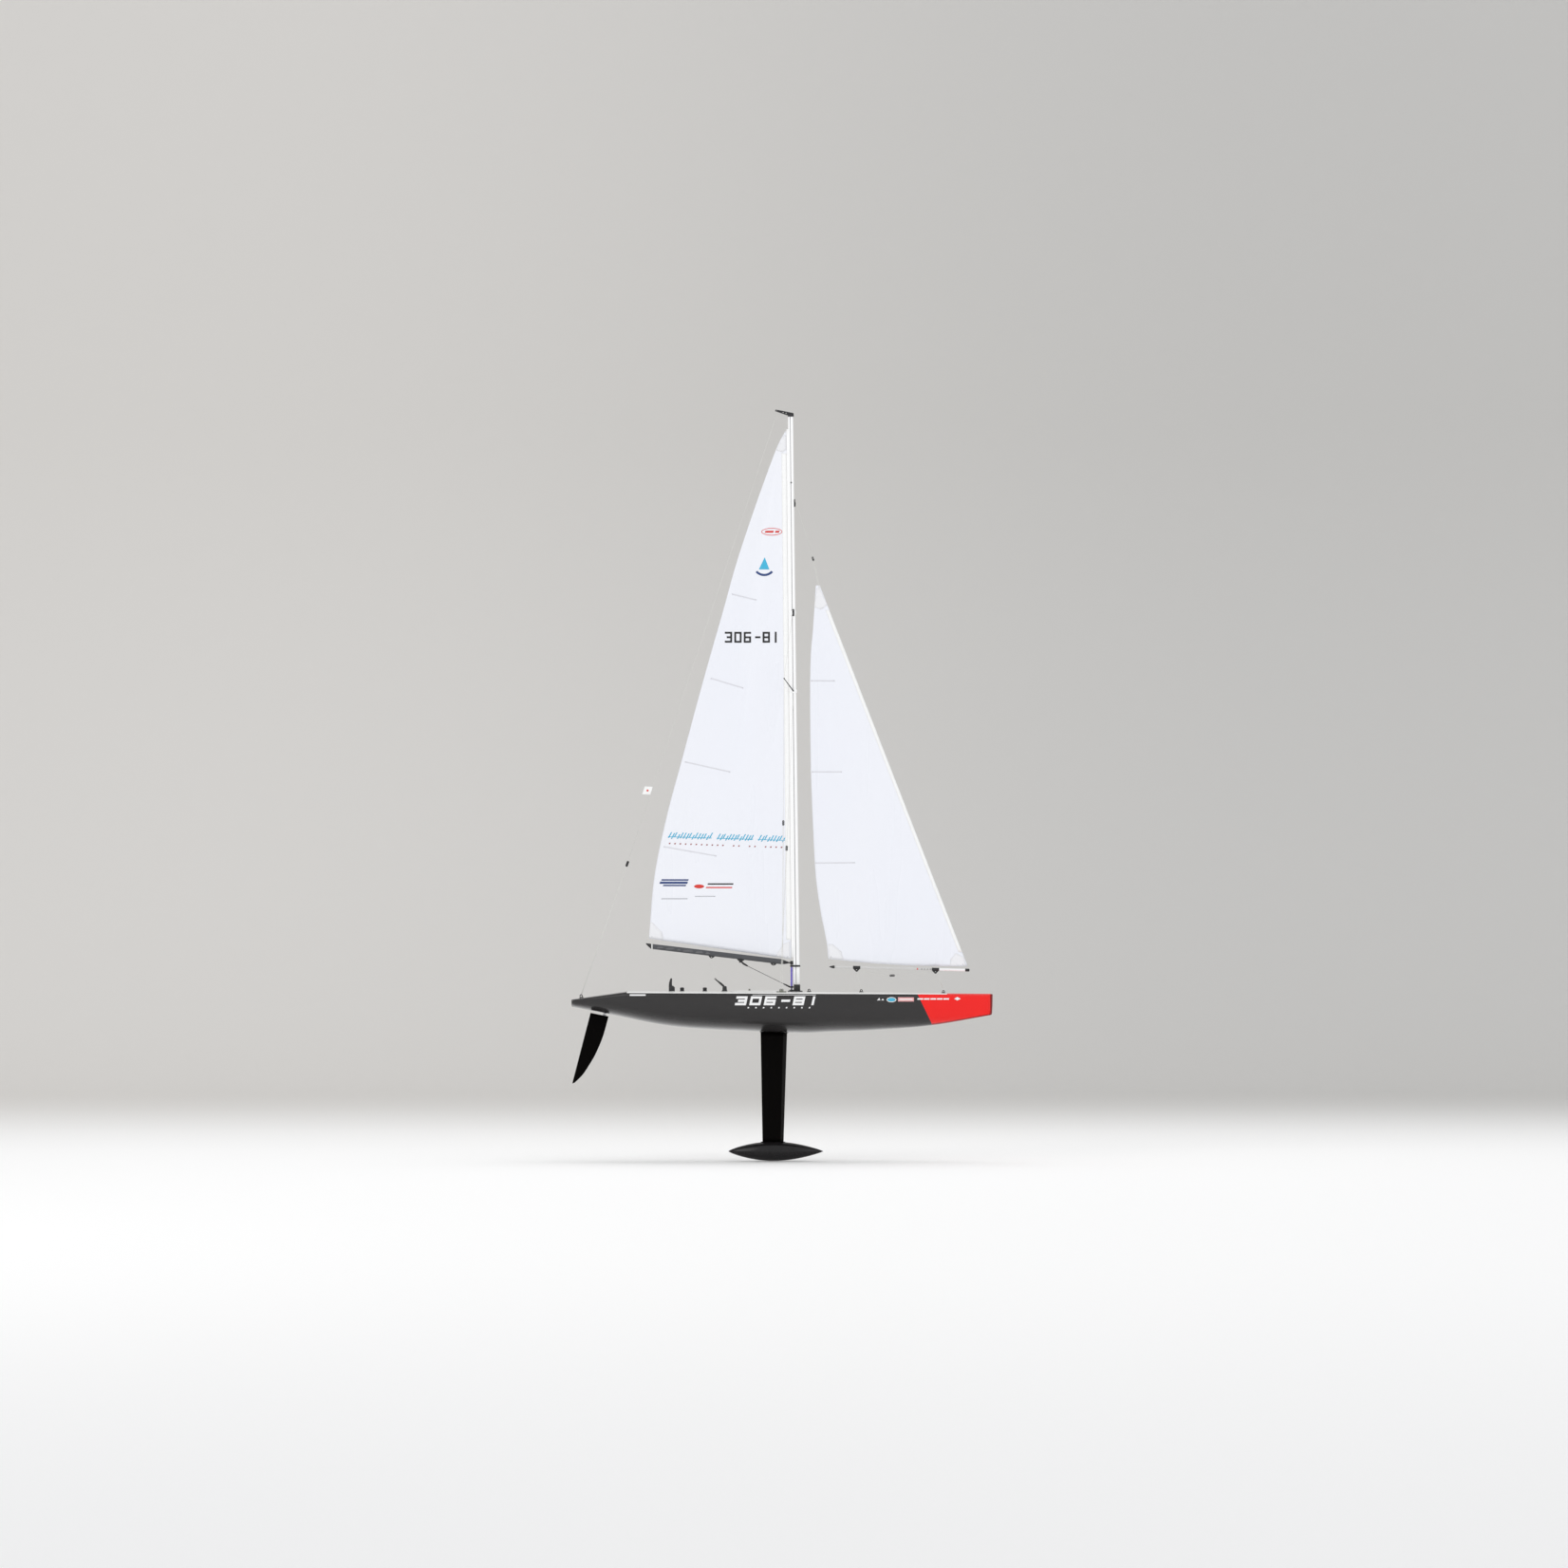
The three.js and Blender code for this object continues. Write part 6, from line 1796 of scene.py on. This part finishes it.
SAIL_TRIM = {
    "main": {
        "body": "main_boom",
        "luff": (0.036, 0.958, 12.0, 60),
        "patches": [[(-296, 222.5), (-262, 217.2), (-266, 236), (-288, 258), (-293.6, 259)],
                    [(38, 173.5), (38, 214), (22, 207), (4, 178.5)],
                    [(29.0, 1420), (29.6, 1386), (21, 1380), (6, 1384), (13, 1401), (23, 1420)]],
        "battens": [(-100, 1041, -42, 1027), (-150, 840, -73, 817), (-212, 641, -104, 617),
                    (-262, 439, -137, 417)],
        "eyelets": [(-291.5, 224.6), (34.6, 177), (25.8, 1416)],
    },
    "jib": {
        "body": "jib",
        "luff": (0.036, 0.935, 9.0, 56),
        "patches": [[(130.5, 174.5), (166, 170.6), (160, 190), (140, 207), (128.6, 207)],
                    [(455, 157), (452, 176), (432, 186), (420, 172), (418, 156.6)],
                    [(107.6, 1059), (101.6, 1054), (96, 1010), (112, 1004), (127, 1014)]],
        "battens": [(88, 834, 145, 834), (90, 617, 162, 617), (98, 400, 193, 401)],
        "eyelets": [(134.2, 177.6), (450.5, 158.8), (108.6, 1052)],
    },
}


def build_sails():
    main, jib = SAILS["main"], SAILS["jib"]
    cloth = settle("main_sail", sail_mesh(main, 150, 64), "main_boom", "sail_film", ["mainsail"])
    flat_area(main)
    cloth = settle("jib_cloth", sail_mesh(jib, 120, 56), "jib", "sail_film", ["jib_sail"])
    flat_area(jib)

    for side, word in SIDES:
        for name, trim in SAIL_TRIM.items():
            sail, body = SAILS[name], trim["body"]
            lay_on(luff_band(sail, *trim["luff"]), on_sail(sail, side, 0.08), "sail_cloth_band", body,
                   f"{name}_luff_band_{word}", cell=9)
            lay_on(trim["patches"], on_sail(sail, side, 0.1), "sail_patch", body, f"{name}_patches_{word}",
                   cell=9)
            lay_on([batten(*line) for line in trim["battens"]], on_sail(sail, side), "batten_film", body,
                   f"{name}_battens_{word}", cell=9)
        build_sail_graphics(side, word)
    for name, trim in SAIL_TRIM.items():
        rings = [eyelet(SAILS[name], x, z) for x, z in trim["eyelets"]]
        settle(f"{name}_eyelets", merged(*rings), trim["body"], "stainless")


def eyelet(sail, x, z):
    s, v = sail_spot(sail, x, z)
    return loop_ring((x, sail_point(sail, s, v).y, z), (0, 1, 0), 1.9, 0.5, 24, 10)


def build_sail_graphics(side, word):
    main = SAILS["main"]
    place = on_sail(main, side)
    body = "main_boom"
    numbers = figure_shapes(NUMBER, -117, 925, 130, 26, 4.6)
    lay_on(numbers if side < 0 else flipped(numbers, -52), place, "ink_black", body, f"sail_number_{word}",
           cell=9)
    lay_on(ring_bands(-5, 1190, 25, 9.0, 1.6, 40), place, "ink_red", body, f"sail_red_oval_{word}", cell=9)
    lay_on([bar(-22, -2, 1187.6, 1192.4, 2), bar(2, 12, 1187.6, 1192.4, 2)], place, "ink_red", body,
           f"sail_red_bars_{word}", cell=6)
    peak = [[(-36, 1100), (-11, 1100), (-22, 1129)]]
    outer, inner = (arc(-23, 1112, radius, 222, 318, 16) for radius in (28, 22.6))
    swoosh = [[outer[k], outer[k + 1], inner[k + 1], inner[k]] for k in range(16)]
    lay_on(peak, place, "ink_cyan", body, f"sail_blue_peak_{word}", cell=6)
    lay_on(swoosh, place, "ink_navy", body, f"sail_navy_arc_{word}", cell=6)
    lines = ((-252, 462, -148, 459), (-136, 458.5, -50, 456), (-38, 455.5, 26, 453.5))
    for part, line in enumerate(lines, 1):
        lay_on(pen_strokes(*line, 19), place, "ink_cyan", body, f"sail_cyan_strokes_{part}_{word}", cell=9)
        lay_on(fine_line(*line), on_sail(main, side, 0.14), "ink_cyan", body, f"sail_cyan_line_{part}_{word}",
               cell=9)
    ticks = []
    for k in range(22):
        x = mix(-250, 16, k / 21)
        drop = 0.035 * (x + 250)
        if k not in (11, 14, 17):
            ticks.append(bar(x, x + 3.4, 445.0 - drop, 448.2 - drop, 0.8))
    lay_on(ticks, place, "ink_maroon", body, f"sail_red_ticks_{word}", cell=6)
    navy = [bar(-268, -204, 358, 361.6, 1.4), bar(-272, -206, 350.6, 355.8, 1.4),
            bar(-264, -210, 345, 348.4, 1.4)]
    lay_on(navy, place, "ink_navy", body, f"sail_navy_bars_{word}", cell=9)
    lay_on([oval(-178, 344.5, 12, 4.6), bar(-162, -100, 340.4, 343.4, 1)], place, "ink_red", body,
           f"sail_red_mark_{word}", cell=7)
    lay_on([bar(-158, -97, 348.6, 352, 1)], place, "ink_black", body, f"sail_black_bar_{word}", cell=7)
    lay_on([bar(-268, -206, 314, 316.4, 1), bar(-188, -140, 320, 322, 1)], place, "ink_grey", body,
           f"sail_grey_bars_{word}", cell=9)


# ---------------------------------------------------------------- jib boom

JIB_BOOM = {"aft": (132.0, 153.4), "fore": (464.7, 145.5), "radius": 2.8}
JIB_CLIPS = (196.5, 383.8)
SWIVEL_X = 383.5
JIB_PIVOT = {"deck": (402.7, 92.5), "mast": (51.9, 1262.3)}
HALYARD_SLIDER_Z = 1125


def jib_boom_z(x):
    (ax, az), (fx, fz) = JIB_BOOM["aft"], JIB_BOOM["fore"]
    return mix(az, fz, (x - ax) / (fx - ax))


def jib_pivot_x(z):
    (dx, dz), (mx, mz) = JIB_PIVOT["deck"], JIB_PIVOT["mast"]
    return mix(dx, mx, (z - dz) / (mz - dz))


def jib_clip(x, wide, deep):
    """A clip round the jib boom with an eye beneath it."""
    z = jib_boom_z(x)
    radius = JIB_BOOM["radius"]
    outline = [(x - wide / 2, z - radius + 0.6), (x + wide / 2, z - radius + 0.6),
               (x + wide * 0.28, z - radius - deep)] + arc(x, z - radius - deep, wide * 0.2, -10, -170, 8) \
        + [(x - wide * 0.28, z - radius - deep)]
    fin = standing(cut_plate([outline, circle(x, z - radius - deep * 0.62, 1.0, 16)], 2.6, 0.4))
    sleeve = tube([(x - wide / 2, 0, jib_boom_z(x - wide / 2)), (x + wide / 2, 0, jib_boom_z(x + wide / 2))],
                  radius + 0.9, 28)
    return merged(fin, sleeve)


def build_jib():
    (ax, az), (fx, fz) = JIB_BOOM["aft"], JIB_BOOM["fore"]
    path = [(x, 0, jib_boom_z(x)) for x in stations(ax + 9, fx - 9, 20)]
    settle("jib_spar", tube(path, JIB_BOOM["radius"], 28), "jib", "jib_boom_alloy", ["jib_boom"])
    sleeve = [(x, 0, jib_boom_z(x)) for x in (378, 378.6, 405, 430, 454.4, 455)]
    settle("jib_spar_sleeve", tube(sleeve, [2.85, 3.0, 3.0, 3.0, 3.0, 2.85], 28), "jib", "ink_white")
    for side, word in SIDES:
        def on_spar(x, z, lift, side=side):
            share = clamp(abs(z - jib_boom_z(x)) / JIB_BOOM["radius"])
            return Vector((x, side * (JIB_BOOM["radius"] * math.sqrt(1 - share**2) + 0.06 + lift), z))
        dot_z, mark_z = jib_boom_z(341), jib_boom_z(362)
        lay_on([circle(341, dot_z, 2.0, 18)], on_spar, "ink_red", "jib", f"jib_red_dot_{word}", cell=3)
        dashes = [bar(x, x + 4, mark_z - 0.9, mark_z + 0.9) for x in (349, 356, 363, 370)]
        lay_on(dashes, on_spar, "boom_mark", "jib", f"jib_spar_marks_{word}", cell=7)
    lean = Vector((fx - ax, 0, fz - az)).normalized()
    aft_cap = turned([(0, 0), (1.0, 0), (3.4, 8.6), (3.5, 11.6), (2.9, 12), (0, 12)], (ax, 0, az), lean,
                     32, ease=0.4)
    fore_cap = turned([(0, 0), (2.4, 0), (3.5, 1.6), (3.5, 10), (2.9, 10.6), (0, 10.6)],
                      (fx, 0, fz), -lean, 32, ease=0.5)
    settle("jib_spar_caps", merged(aft_cap, fore_cap), "jib", "black_nylon")
    settle("jib_clips", merged(*[jib_clip(x, 17, 4.2) for x in JIB_CLIPS]), "jib", "black_nylon")
    outhaul = [tube([(134, 0, 176), (133.4, 0, 166), (134.6, 0, 157)], 0.35, 8),
               tube([(455, 0, 149.8), (453, 0, 154), (450.6, 0, 157.6)], 0.35, 8)]
    settle("jib_ties", merged(*outhaul), "jib", "rigging_cord")
    line = [tube([(378, 0, jib_boom_z(378) - 5.4), (330, 0, 135.6), (287, 0, 132.9)], 0.36, 8),
            tube([(275, 0, 132.6), (235, 0, 138), (203, 0, jib_boom_z(203) - 5.2)], 0.3, 8)]
    settle("jib_trim_line", merged(*line), "jib", "rigging_cord")
    settle("jib_trim_slider", bowsie((281, 0, 132.7), (1, 0, 0.02)), "jib", "black_nylon")


def build_jib_lines():
    z_top = jib_boom_z(SWIVEL_X) - 8.2
    foot = Vector((jib_pivot_x(104), 0, 104.6))
    head = Vector((jib_pivot_x(z_top), 0, z_top))
    parts = [tube([foot + Vector((0, 0, 2)), head - Vector((0, 0, 2))], 0.5, 10),
             loop_ring(foot + Vector((0.4, 0, 0.6)), (0, 1, 0), 1.2, 0.4),
             loop_ring(head, (0, 1, 0), 1.2, 0.4)]
    settle("jib_swivel", merged(*parts), "jib", "rigging_cord", ["jib_swivel_line"])

    foot = Vector((206.5, 0, deck_top(207.5) + 7.4))
    head = Vector((JIB_CLIPS[0] + 0.1, 0, jib_boom_z(JIB_CLIPS[0]) - 7.8))
    path = [foot.lerp(head, k / 24) for k in range(25)]
    bent_cord("jib_sheet_line", tube(path, 0.42, 10), "jib_sheet")


def build_halyards():
    head = Vector((108.8, 0, 1054))
    slider = Vector((jib_pivot_x(HALYARD_SLIDER_Z), 0, HALYARD_SLIDER_Z))
    top = Vector((52.7, 0, 1262.3))
    up = (top - slider).normalized()
    parts = twin_line(head, slider, 0.7, 0.3) + [tube([slider + up * 4, top], STAY_THIN, 8),
                                                 loop_ring(top - Vector((1.2, 0, 0)), (0, 1, 0), 1.5, 0.35)]
    settle("jib_halyard_line", merged(*parts), "jib", "rigging_cord", ["jib_halyard"])
    settle("jib_halyard_slider", bowsie(slider, up, length=11, width=4.4), "jib", "black_nylon")

    outhaul = [tube([(-291.5, 0.4, 222.6), (-294, 0, 214), (-297, 0, 208.4)], 0.4, 8),
               tube([(34.6, 0.3, 175), (36.4, 0, 170), (38.4, 0, 167.8)], 0.4, 8)]
    settle("main_ties", merged(*outhaul), "main_boom", "rigging_cord")
    halyard = tube([(25.8, 0.2, 1417.5), (29, 0, 1440), (33.4, 0, 1458), (36, 0, 1467)], 0.32, 8)
    settle("main_halyard", halyard, "main_boom", "rigging_cord")


# ---------------------------------------------------------------- the whole boat

build_camera()
build_stage()
build_lights()
build_hull()
build_deck()
build_hatch()
build_hull_graphics()
build_keel()
build_bulb()
build_rudder()
build_steering()
build_equipment()
build_mast()
build_shrouds()
build_backstay()
build_flag()
build_fittings()
build_main_boom()
build_gooseneck()
build_vang()
build_mainsheet()
build_sails()
build_jib()
build_jib_lines()
build_halyards()
